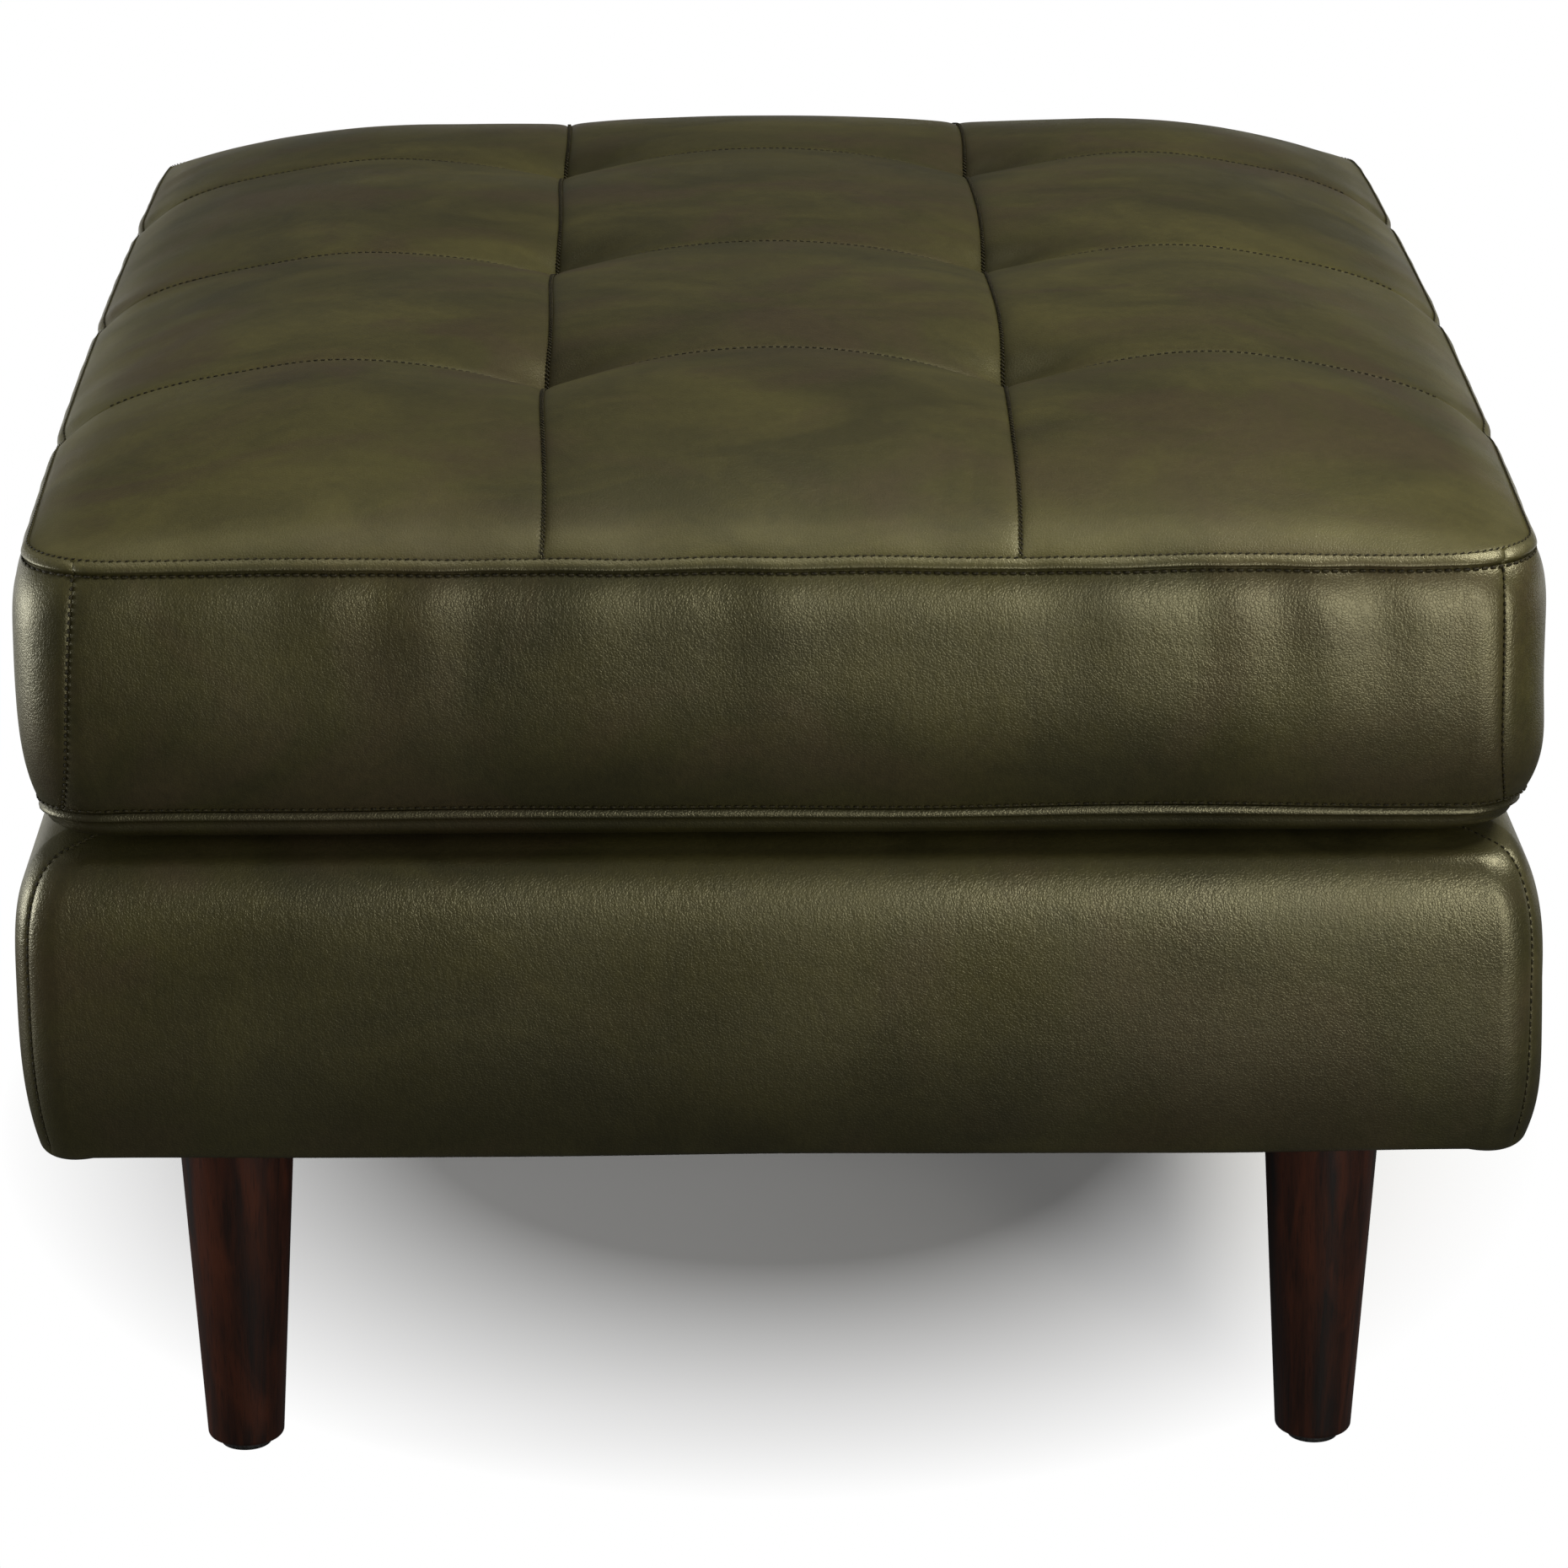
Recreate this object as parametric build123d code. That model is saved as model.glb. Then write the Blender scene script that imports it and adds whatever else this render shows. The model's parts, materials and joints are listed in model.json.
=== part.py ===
from build123d import *
import math
import os

# A leather ottoman used as a coffee table: a loose quilted cushion on an upholstered box
# that stands on four turned wooden legs. Millimetres, +Z up, X across the front and Y from
# front to back. The origin is on the floor, at the middle of the footprint.

# Legs, glides and their fixings
leg_length = 157.6
leg_top_diameter = 51.0
leg_foot_diameter = 33.0
leg_foot_round = 1.5
leg_inset = 82.0
glide_diameter = 22.0
glide_thickness = 4.0
glide_bevel = 0.8
nail_diameter = 2.4
nail_head_diameter = 6.0
nail_head_thickness = 1.2
nail_recess = 0.8
nail_length = 20.0
bolt_diameter = 8.0
bolt_depth_in_leg = 38.0
thread_clearance = 0.1
tee_nut_barrel_diameter = 10.0
tee_nut_barrel_length = 14.0
tee_nut_flange_diameter = 22.0
tee_nut_flange_thickness = 1.6

# Upholstered box
base_width = 628.0
base_depth = 765.0
base_height = 135.0
base_corner_radius = 20.0
base_draw_in_bottom = 11.5
base_draw_in_top = 8.0
base_roll_width = 24.0
base_roll_height = 11.0
base_belly_share = 0.62
base_side_shares = (0.0, 0.14, 0.34, 0.62, 0.82)
base_fullness = 3.0
leather = 1.4
soft_clearance = 0.5
underside_turn = 28.0
deck_border = 30.0

# Wooden frame inside the box
padding_thickness = 22.0
rail_thickness = 20.0
stretcher_height = 60.0
block_size = 72.0
block_height = 46.0
screw_length = 50.0
screw_diameter = 4.5
screw_head_diameter = 9.0
screw_head_height = 3.6
screw_height_shares = (0.22, 0.78)
block_screw_spread = 30.0

# Suspension, deck and dust cover
webbing_width = 60.0
webbing_thickness = 2.0
webbing_count_lengthwise = 5
webbing_count_crosswise = 6
deck_foam_thickness = 14.0
dust_cover_thickness = 0.6
dust_cover_margin = 10.0
staple_width = 10.0
staple_wire = 1.0
staple_leg = 9.0
staples_per_strap_end = 2
dust_staple_pitch = 84.0

# Cushion
cushion_overhang = 1.0
cushion_clearance = 0.3
cushion_corner_radius = 30.0
underside_rise = 14.0
underside_roll_width = 46.0
border_height = 110.0
border_draw_in_bottom = 16.8
border_draw_in_top = 6.0
border_belly_share = 0.68
border_fullness = 2.5
border_side_shares = (0.0, 0.15, 0.36, 0.68, 0.86, 1.0)
corner_seam_inset = 27.0
backing_thickness = 0.8

# Quilting of the cushion's top
tuft_rise = 24.0
seam_crest_rise = 15.0
block_crown_rise = 4.0
middle_column_width = 201.0
middle_row_depth = 192.0
block_edge_fall = 5.0
shoulder_width = 128.0
shoulder_rise = 48.0
shoulder_rounding = 40.0
shoulder_shares = ((0.0, 0.0), (0.06, 0.22), (0.17, 0.47), (0.36, 0.73), (0.66, 0.92), (1.0, 1.0))
block_station_shares = (0.0, 0.16, 0.5, 0.84, 1.0)
block_bulge_power = 2.6

# Zip in the cushion's back border
zip_corner_margin = 55.0
zip_height = 82.0
zip_slot = 12.0
zip_seat_depth = 3.6
zip_end_room = 15.0
zip_end_allowance = 19.0
tape_width = 12.5
tape_thickness = 0.6
teeth_width = 2.4
teeth_thickness = 1.6
zip_parting = 0.8
stop_length = 3.0
slider_length = 11.0
slider_width = 9.0
slider_plate = 1.1
slider_clearance = 0.2
slider_post_length = 3.0
slider_end_gap = 3.0
slider_ear_thickness = 1.0
pull_pin_diameter = 1.2
pull_pin_clearance = 0.05
pull_eye_wall = 0.6
pull_lift = 0.2
pull_length = 24.0
pull_width = 4.6
pull_thickness = 1.1
pull_side_clearance = 0.2
zip_pocket_depth = 4.0
zip_pocket_margin = 3.0

overrun = 5.0

# Heights, from the floor up
leg_top = glide_thickness + leg_length
base_bottom = leg_top + dust_cover_thickness
base_top = base_bottom + base_height
deck_foam_bottom = base_top - leather - deck_foam_thickness
rail_bottom = base_bottom + leather
rail_top = deck_foam_bottom - 2 * webbing_thickness
cushion_bottom = base_top + cushion_clearance
border_bottom = cushion_bottom + underside_rise
border_top = border_bottom + border_height
tuft_height = border_top + tuft_rise
seam_crest = tuft_height + seam_crest_rise
block_crown = seam_crest + block_crown_rise

# Plan sizes
cushion_width = base_width + 2 * cushion_overhang
cushion_depth = base_depth + 2 * cushion_overhang
zip_length = cushion_width - 2 * zip_corner_margin
frame_width = base_width - 2 * padding_thickness
frame_depth = base_depth - 2 * padding_thickness
leg_x = base_width / 2 - leg_inset
leg_y = base_depth / 2 - leg_inset
deck_inset = base_draw_in_top + base_roll_width + deck_border
corners = {
    "front_left": (-1, -1),
    "front_right": (1, -1),
    "back_left": (-1, 1),
    "back_right": (1, 1),
}


def box(x0, x1, y0, y1, z0, z1):
    """A block between two corners."""
    middle = Pos((x0 + x1) / 2, (y0 + y1) / 2, (z0 + z1) / 2)
    return middle * Box(abs(x1 - x0), abs(y1 - y0), abs(z1 - z0))


def rod(diameter, bottom, top, x=0.0, y=0.0):
    """An upright cylinder between two heights."""
    return Pos(x, y, (bottom + top) / 2) * Cylinder(diameter / 2, top - bottom)


def group(solids):
    """Separate solids that share one node."""
    return Compound(children=[solid for piece in solids for solid in piece.solids()])


def without(piece, tools):
    """The piece with each tool cut out of it where their boxes meet."""
    reach = piece.bounding_box()
    near = [tool for tool in tools if reach.overlaps(tool.bounding_box())]
    return piece - near if near else piece


def section(width, depth, radius, inset, height):
    """A level outline with rounded corners, drawn in by an inset on all sides."""
    return Plane.XY.offset(height) * RectangleRounded(width - 2 * inset, depth - 2 * inset, radius)


def stacked(width, depth, levels):
    """A smooth solid through outlines given as (height, inset, corner radius)."""
    return loft([section(width, depth, radius, inset, height) for height, inset, radius in levels])


def belly_inset(share, belly_share, bottom_in, top_in, fullness):
    """How far a padded side stands in from its fullest line, at a share of its height."""
    if share < belly_share:
        return bottom_in * ((belly_share - share) / belly_share) ** fullness
    return top_in * ((share - belly_share) / (1 - belly_share)) ** fullness


# Solids that the padded shells are cut from

def base_form(skin):
    """The box's padded form, its surface moved in by the skin."""
    bottom, top = base_bottom + skin, base_top - skin
    side_top = base_top - base_roll_height
    levels = []
    for share in base_side_shares:
        height = base_bottom + share * base_height
        inset = belly_inset(share, base_belly_share, base_draw_in_bottom, base_draw_in_top, base_fullness)
        levels.append((max(height, bottom), inset + skin, base_corner_radius))
    for turn in (30, 60, 90):
        rise = math.sin(math.radians(turn)) * (top - side_top)
        inset = base_draw_in_top + base_roll_width * (1 - math.cos(math.radians(turn)))
        levels.append((side_top + rise, inset + skin, base_corner_radius))
    return stacked(base_width, base_depth, levels)


def border_inset(share):
    """How far the cushion's side stands in at a share of its height."""
    return belly_inset(share, border_belly_share, border_draw_in_bottom, border_draw_in_top, border_fullness)


def border_form(skin):
    """The cushion's side form from its lower edge to its upper seam."""
    levels = []
    for share in border_side_shares:
        height = border_bottom + share * border_height
        levels.append((height, border_inset(share) + skin, cushion_corner_radius))
    return stacked(cushion_width, cushion_depth, levels)


def underside_form(skin):
    """The cushion's lower form: flat on the deck and turned up to the border's lower edge."""
    levels = []
    for turn in (0, 30, 60, 90):
        inset = border_draw_in_bottom + underside_roll_width * (1 - math.sin(math.radians(turn)))
        rise = (underside_rise - skin) * (1 - math.cos(math.radians(turn)))
        levels.append((cushion_bottom + skin + rise, inset + skin, cushion_corner_radius))
    return stacked(cushion_width, cushion_depth, levels)


def shoulder_form(skin):
    """The envelope of the cushion's top: it rises from the seam and rounds over to the crown."""
    levels = []
    for along, up in shoulder_shares:
        inset = border_draw_in_top + skin + along * shoulder_width
        radius = cushion_corner_radius + along * shoulder_rounding
        levels.append((border_top + up * (shoulder_rise - skin), inset, radius))
    return stacked(cushion_width, cushion_depth, levels)


def block_section(x_out, x_in, out_height, crown, seam_height, y):
    """One upright section of a quilted block: three straight sides under one arc."""
    left, right = min(x_out, x_in), max(x_out, x_in)
    left_height, right_height = (out_height, seam_height) if x_out < x_in else (seam_height, out_height)
    face_plane = Plane(origin=(0, y, 0), x_dir=(1, 0, 0), z_dir=(0, -1, 0))
    crown_arc = ThreePointArc((left, left_height), ((left + right) / 2, crown), (right, right_height))
    sides = Polyline((left, left_height), (left, border_top), (right, border_top), (right, right_height))
    return face_plane * make_face(crown_arc + sides)


def quilted_block(outer_column, outer_row):
    """One block's pillow, from the level of the seams up, as a loft along Y."""
    seam_x = middle_column_width / 2
    x_out = -cushion_width / 2 if outer_column else -seam_x
    x_in = -seam_x if outer_column else seam_x
    y_start = -middle_row_depth
    y_end = -cushion_depth / 2 if outer_row else 0.0
    sections = []
    for share in block_station_shares:
        swell = 1 - abs(2 * share - 1) ** block_bulge_power
        seam_height = tuft_height + swell * seam_crest_rise
        crown = seam_crest + swell * block_crown_rise
        if outer_row and share > 0.5:
            seam_height = seam_crest - (1 - swell) * block_edge_fall
            crown = block_crown - (1 - swell) * block_edge_fall
        out_height = crown - block_edge_fall if outer_column else seam_height
        y = y_start + share * (y_end - y_start)
        sections.append(block_section(x_out, x_in, out_height, crown, seam_height, y))
    return loft(sections)


def four_way(solid, outer_column):
    """A block of the front left quarter, with its mirror images, keyed by the place of each."""
    places = {"front": solid, "back": solid.mirror(Plane.XZ)}
    if not outer_column:
        return {(row, "middle"): piece for row, piece in places.items()}
    pieces = {(row, "left"): piece for row, piece in places.items()}
    pieces.update({(row, "right"): piece.mirror(Plane.YZ) for row, piece in places.items()})
    return pieces


def mitre_wedge(side):
    """The region of one side of the box, cut off at 45 degrees through its corners."""
    half_x, half_y = base_width / 2, base_depth / 2
    if side in ("front", "back"):
        corner = half_y + overrun
        reach = half_x + overrun
        points = [(-reach, -corner), (reach, -corner), (0, reach - corner)]
    else:
        corner = half_x + overrun
        reach = half_y - half_x
        points = [(-corner, -half_y - overrun), (-corner, half_y + overrun), (0, reach), (0, -reach)]
    outline = make_face(Polyline(*points, close=True))
    wedge = Pos(0, 0, base_bottom - overrun) * extrude(outline, base_height + 2 * overrun)
    if side == "back":
        return wedge.mirror(Plane.XZ)
    return wedge.mirror(Plane.YZ) if side == "right" else wedge


# Wooden frame and its fasteners

def screw(point, direction):
    """A countersunk wood screw that starts at a point and runs in a direction."""
    head = Pos(0, 0, screw_head_height / 2) * Cone(
        screw_head_diameter / 2, screw_diameter / 2, screw_head_height
    )
    shank = Pos(0, 0, screw_length / 2) * Cylinder(screw_diameter / 2, screw_length)
    return Plane(origin=point, z_dir=direction) * (head + shank)


def frame_screws():
    """Screws through the rails into the side rails' ends, the corner blocks and the stretcher."""
    screws = []
    heights = [rail_bottom + share * (rail_top - rail_bottom) for share in screw_height_shares]
    block_middle = base_bottom + block_height / 2
    for side_x, side_y in corners.values():
        rail_end = side_x * (frame_width / 2 - rail_thickness / 2)
        face_y = side_y * frame_depth / 2
        face_x = side_x * frame_width / 2
        for height in heights:
            screws.append(screw((rail_end, face_y, height), (0, -side_y, 0)))
        for step in (-0.5, 0.5):
            offset = rail_thickness + block_size / 2 + step * block_screw_spread
            across = side_x * (frame_width / 2 - offset)
            along = side_y * (frame_depth / 2 - offset)
            screws.append(screw((across, face_y, block_middle + screw_head_diameter), (0, -side_y, 0)))
            screws.append(screw((face_x, along, block_middle - screw_head_diameter), (-side_x, 0, 0)))
    for side_x in (-1, 1):
        for share in screw_height_shares:
            height = rail_bottom + share * stretcher_height
            screws.append(screw((side_x * frame_width / 2, 0, height), (-side_x, 0, 0)))
    return screws


def staple(point, crown_direction, drive_direction):
    """A wire staple: a crown that lies on the surface at the point, and two legs driven in."""
    crown = box(-staple_width / 2, staple_width / 2, -staple_wire / 2, staple_wire / 2, 0, staple_wire)
    legs = [
        box(x, x + staple_wire, -staple_wire / 2, staple_wire / 2, 0, staple_leg)
        for x in (-staple_width / 2, staple_width / 2 - staple_wire)
    ]
    return Plane(origin=point, x_dir=crown_direction, z_dir=drive_direction) * (crown + legs)


def webbing():
    """The straps, the crosswise ones over the lengthwise ones, and the staples in their ends."""
    under, over = rail_top + webbing_thickness, rail_top + 2 * webbing_thickness
    lengthwise, crosswise, staples = [], [], []
    inner_width, inner_depth = frame_width - 2 * rail_thickness, frame_depth - 2 * rail_thickness
    half_x, half_y, half_strap = frame_width / 2, frame_depth / 2, webbing_width / 2
    staple_steps = [webbing_width * ((index + 0.5) / staples_per_strap_end - 0.5)
                    for index in range(staples_per_strap_end)]
    for index in range(webbing_count_lengthwise):
        x = inner_width * ((index + 0.5) / webbing_count_lengthwise - 0.5)
        lengthwise.append(box(x - half_strap, x + half_strap, -half_y, half_y, rail_top, under))
        for side in (-1, 1):
            for step in staple_steps:
                point = (x + step, side * (half_y - rail_thickness / 2), under)
                staples.append(staple(point, (1, 0, 0), (0, 0, -1)))
    for index in range(webbing_count_crosswise):
        y = inner_depth * ((index + 0.5) / webbing_count_crosswise - 0.5)
        strap = box(-half_x, half_x, y - half_strap, y + half_strap, under, over)
        for side in (-1, 1):
            folded_end = (side * (half_x - rail_thickness), side * half_x)
            strap += box(*sorted(folded_end), y - half_strap, y + half_strap, rail_top, under)
            for step in staple_steps:
                point = (side * (half_x - rail_thickness / 2), y + step, over)
                staples.append(staple(point, (0, 1, 0), (0, 0, -1)))
        crosswise.append(strap)
    return lengthwise, crosswise, staples


def dust_cover_staples():
    """Staples that hold the dust cover to the undersides of the rails."""
    staples = []
    run_x, run_y = frame_width - rail_thickness, frame_depth - rail_thickness
    for side in (-1, 1):
        count = round(run_x / dust_staple_pitch)
        for index in range(count):
            x = run_x * ((index + 0.5) / count - 0.5)
            point = (x, side * run_y / 2, leg_top - staple_wire)
            staples.append(staple(point, (1, 0, 0), (0, 0, 1)))
        count = round(run_y / dust_staple_pitch)
        for index in range(count):
            y = run_y * ((index + 0.5) / count - 0.5)
            point = (side * run_x / 2, y, leg_top - staple_wire)
            staples.append(staple(point, (0, 1, 0), (0, 0, 1)))
    return staples


# Zip, in a frame of its own: X along the zip, Y up the border and Z out of it

def zip_plane():
    """The plane of the tapes' outer face, laid along the border's slope at the zip's height."""
    share = zip_height / border_height
    reach = zip_slot / border_height / 2
    tilt = math.atan((border_inset(share - reach) - border_inset(share + reach)) / zip_slot)
    surface_y = cushion_depth / 2 - border_inset(share)
    out = Vector(0, math.cos(tilt), -math.sin(tilt))
    seat = Vector(0, surface_y, border_bottom + zip_height) - out * (leather + zip_seat_depth)
    return Plane(origin=seat, x_dir=(-1, 0, 0), z_dir=out)


def zip_solids():
    """Tapes, teeth, stops and the leather hems that they are sewn to, each as a list."""
    half, gap = zip_length / 2, zip_parting / 2
    tape_half = half + zip_end_allowance
    tapes, teeth, stops, hems = [], [], [], []
    for side in (-1, 1):
        tape_edges = sorted((side * gap, side * (gap + tape_width)))
        teeth_edges = sorted((side * gap, side * (gap + teeth_width)))
        hem_edges = sorted((side * zip_slot / 2, side * (gap + tape_width)))
        tapes.append(box(-tape_half, tape_half, *tape_edges, -tape_thickness, 0))
        teeth.append(box(-half, half, *teeth_edges, 0, teeth_thickness))
        hems.append(box(-tape_half, tape_half, *hem_edges, 0, zip_seat_depth))
        for end in (-1, 1):
            stop_edges = sorted((end * half, end * (half + stop_length)))
            stops.append(box(*stop_edges, *teeth_edges, 0, teeth_thickness))
    return tapes, teeth, stops, hems


def zip_openings():
    """The slot in the border between the hems, and the pocket in the foam behind the tapes."""
    slot_half = zip_length / 2 + zip_end_room
    pocket_x = zip_length / 2 + zip_end_allowance + zip_pocket_margin
    pocket_y = zip_parting / 2 + tape_width + zip_pocket_margin
    slot = box(-slot_half, slot_half, -zip_slot / 2, zip_slot / 2, -overrun, 2 * overrun)
    pocket = box(-pocket_x, pocket_x, -pocket_y, pocket_y, -zip_pocket_depth, 2 * overrun)
    return slot, pocket


def pull_pin():
    """The place of the pull tab's pin along the zip and out of it, and the eye's radius."""
    eye_radius = pull_pin_diameter / 2 + pull_pin_clearance + pull_eye_wall
    pin_height = teeth_thickness + slider_clearance + slider_plate + pull_lift + eye_radius
    return zip_length / 2 - slider_end_gap - slider_length / 2, pin_height, eye_radius


def slider_and_pull():
    """The slider between the tapes, and the pull tab on its pin, at rest at the closed end."""
    pin_x, pin_height, eye_radius = pull_pin()
    start, end = pin_x - slider_length / 2, pin_x + slider_length / 2
    half_width = slider_width / 2
    outer_plate_bottom = teeth_thickness + slider_clearance
    outer_plate_top = outer_plate_bottom + slider_plate
    inner_plate_top = -tape_thickness - slider_clearance
    inner_plate_bottom = inner_plate_top - slider_plate
    post_half = zip_parting / 2 - slider_clearance
    slider = box(start, end, -half_width, half_width, outer_plate_bottom, outer_plate_top)
    slider += box(start, end, -half_width, half_width, inner_plate_bottom, inner_plate_top)
    slider += box(end - slider_post_length, end, -post_half, post_half, inner_plate_bottom, outer_plate_top)
    ear_start = pull_width / 2 + pull_side_clearance
    ear_top = pin_height + pull_pin_diameter / 2 + pull_eye_wall
    for side in (-1, 1):
        ear_edges = sorted((side * ear_start, side * (ear_start + slider_ear_thickness)))
        slider += box(pin_x - eye_radius, pin_x + eye_radius, *ear_edges, outer_plate_bottom, ear_top)
    pin_length = 2 * (ear_start + slider_ear_thickness)
    pin_place = Pos(pin_x, 0, pin_height) * Rot(90, 0, 0)
    slider += pin_place * Cylinder(pull_pin_diameter / 2, pin_length)
    half_tab, half_thickness = pull_width / 2, pull_thickness / 2
    pull = box(pin_x - pull_length, pin_x, -half_tab, half_tab,
               pin_height - half_thickness, pin_height + half_thickness)
    pull += pin_place * Cylinder(eye_radius, pull_width)
    pull -= pin_place * Cylinder(pull_pin_diameter / 2 + pull_pin_clearance, pull_width + overrun)
    return slider, pull


# Pieces, each written as a node of its own

nodes = {}


def make_legs():
    """Legs, glides, nails, hanger bolts and tee nuts at the four corners."""
    bolt_top = base_bottom + block_height + tee_nut_flange_thickness
    bolts, nuts, nails = [], [], []
    for place, (side_x, side_y) in corners.items():
        x, y = side_x * leg_x, side_y * leg_y
        bolt = rod(bolt_diameter, leg_top - bolt_depth_in_leg, bolt_top, x, y)
        nail = rod(nail_head_diameter, nail_recess, nail_recess + nail_head_thickness, x, y)
        nail += rod(nail_diameter, nail_recess, nail_recess + nail_length, x, y)
        glide = rod(glide_diameter, 0, glide_thickness, x, y)
        glide = chamfer(glide.edges().group_by(Axis.Z)[0], glide_bevel)
        glide -= rod(nail_head_diameter, -overrun, nail_recess + nail_head_thickness, x, y)
        leg = Pos(x, y, glide_thickness + leg_length / 2) * Cone(
            leg_foot_diameter / 2, leg_top_diameter / 2, leg_length
        )
        leg = fillet(leg.edges().group_by(Axis.Z)[0], leg_foot_round)
        flange_bottom = base_bottom + block_height
        nut = rod(tee_nut_flange_diameter, flange_bottom, bolt_top, x, y)
        nut += rod(tee_nut_barrel_diameter, flange_bottom - tee_nut_barrel_length, bolt_top, x, y)
        nut -= rod(bolt_diameter + thread_clearance, base_bottom, bolt_top + overrun, x, y)
        nodes[f"leg_{place}"] = leg - [bolt, nail]
        nodes[f"glide_{place}"] = glide - nail
        bolts.append(bolt)
        nuts.append(nut)
        nails.append(nail)
    nodes["hanger_bolts"] = group(bolts)
    nodes["tee_nuts"] = group(nuts)
    nodes["glide_nails"] = group(nails)
    return bolts


def make_frame(bolts):
    """Rails, stretcher, corner blocks and the screws and staples that are driven into them."""
    screws = frame_screws()
    lengthwise, crosswise, strap_staples = webbing()
    cover_staples = dust_cover_staples()
    driven = screws + strap_staples + cover_staples
    half_x, half_y = frame_width / 2, frame_depth / 2
    inner_x, inner_y = half_x - rail_thickness, half_y - rail_thickness
    rails = {
        "rail_front": box(-half_x, half_x, -half_y, -inner_y, rail_bottom, rail_top),
        "rail_back": box(-half_x, half_x, inner_y, half_y, rail_bottom, rail_top),
        "rail_left": box(-half_x, -inner_x, -inner_y, inner_y, rail_bottom, rail_top),
        "rail_right": box(inner_x, half_x, -inner_y, inner_y, rail_bottom, rail_top),
        "centre_stretcher": box(-inner_x, inner_x, -rail_thickness / 2, rail_thickness / 2,
                                rail_bottom, rail_bottom + stretcher_height),
    }
    for name, rail in rails.items():
        nodes[name] = without(rail, driven)
    for place, (side_x, side_y) in corners.items():
        span_x = sorted((side_x * inner_x, side_x * (inner_x - block_size)))
        span_y = sorted((side_y * inner_y, side_y * (inner_y - block_size)))
        block = box(*span_x, *span_y, base_bottom, base_bottom + block_height)
        bore_bottom = base_bottom + block_height - tee_nut_barrel_length
        barrel = rod(tee_nut_barrel_diameter, bore_bottom, base_bottom + block_height,
                     side_x * leg_x, side_y * leg_y)
        nodes[f"corner_block_{place}"] = without(block, screws + bolts + [barrel])
    nodes["frame_screws"] = group(screws)
    nodes["webbing_lengthwise"] = group([without(strap, strap_staples) for strap in lengthwise])
    nodes["webbing_crosswise"] = group([without(strap, strap_staples) for strap in crosswise])
    nodes["staples"] = group(strap_staples + cover_staples)
    return cover_staples


def make_upholstery(bolts, cover_staples):
    """Leather panels, rail padding, deck foam, deck cloth and dust cover of the box."""
    shell = base_form(0.0) - base_form(leather)
    stuffing = base_form(leather + soft_clearance)
    above, below = base_top + overrun, base_bottom - overrun
    deck_x, deck_y = base_width / 2 - deck_inset, base_depth / 2 - deck_inset
    opening = box(-deck_x, deck_x, -deck_y, deck_y, deck_foam_bottom, above)
    turn_inset = base_draw_in_bottom + underside_turn
    turn_x, turn_y = base_width / 2 - turn_inset, base_depth / 2 - turn_inset
    bottom_opening = box(-turn_x, turn_x, -turn_y, turn_y, below, rail_top)
    nodes["deck_cloth"] = shell & opening
    leather_sides = without(shell - [opening, bottom_opening], cover_staples)
    half_x, half_y = base_width / 2, base_depth / 2
    frame_hollow = box(-frame_width / 2, frame_width / 2, -frame_depth / 2, frame_depth / 2,
                       below, deck_foam_bottom)
    lower_half = box(-half_x, half_x, -half_y, half_y, below, deck_foam_bottom)
    padding = (stuffing & lower_half) - frame_hollow
    nodes["deck_foam"] = stuffing - lower_half
    for side in ("front", "back", "left", "right"):
        wedge = mitre_wedge(side)
        nodes[f"base_panel_{side}"] = leather_sides & wedge
        nodes[f"rail_padding_{side}"] = padding & wedge
    cover_inset = base_draw_in_bottom + dust_cover_margin
    cover_x, cover_y = half_x - cover_inset, half_y - cover_inset
    cover = box(-cover_x, cover_x, -cover_y, cover_y, leg_top, base_bottom)
    nodes["dust_cover"] = without(cover, bolts + cover_staples)


def make_cushion():
    """The cushion: core, backing, fibre pads, quilted blocks, borders, underside and zip."""
    place = zip_plane().location
    tapes, teeth, stops, hems = zip_solids()
    slider, pull = slider_and_pull()
    slot, pocket = zip_openings()
    nodes["zip_tapes"] = group([place * tape for tape in tapes])
    nodes["zip_teeth"] = group([place * row for row in teeth])
    nodes["zip_stops"] = group([place * stop for stop in stops])
    nodes["zip_slider"] = place * slider
    nodes["zip_pull"] = place * pull
    ring = border_form(0.0) - border_form(leather)
    seam_x = cushion_width / 2 - corner_seam_inset
    far_x, far_y = cushion_width / 2 + overrun, cushion_depth / 2 + overrun
    low, high = border_bottom - overrun, border_top + overrun
    nodes["cushion_border_front"] = ring & box(-seam_x, seam_x, -far_y, 0, low, high)
    back_border = (ring & box(-seam_x, seam_x, 0, far_y, low, high)) + [place * hem for hem in hems]
    nodes["cushion_border_back"] = back_border - place * slot
    nodes["cushion_border_left"] = ring & box(-far_x, -seam_x, -far_y, far_y, low, high)
    nodes["cushion_border_right"] = ring & box(seam_x, far_x, -far_y, far_y, low, high)
    nodes["cushion_underside"] = underside_form(0.0) - underside_form(leather)
    core_skin = leather + soft_clearance
    core = border_form(core_skin) + underside_form(core_skin)
    core_top = border_top - backing_thickness
    core -= box(-far_x, far_x, -far_y, far_y, core_top, high)
    nodes["cushion_core"] = core - place * pocket
    nodes["quilt_backing"] = section_slab(core_skin, core_top, border_top)
    make_quilt()


def section_slab(skin, bottom, top):
    """A flat sheet with the outline of the cushion's upper seam."""
    inset = border_draw_in_top + skin
    outline = section(cushion_width, cushion_depth, cushion_corner_radius, inset, bottom)
    return extrude(outline, top - bottom)


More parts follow.
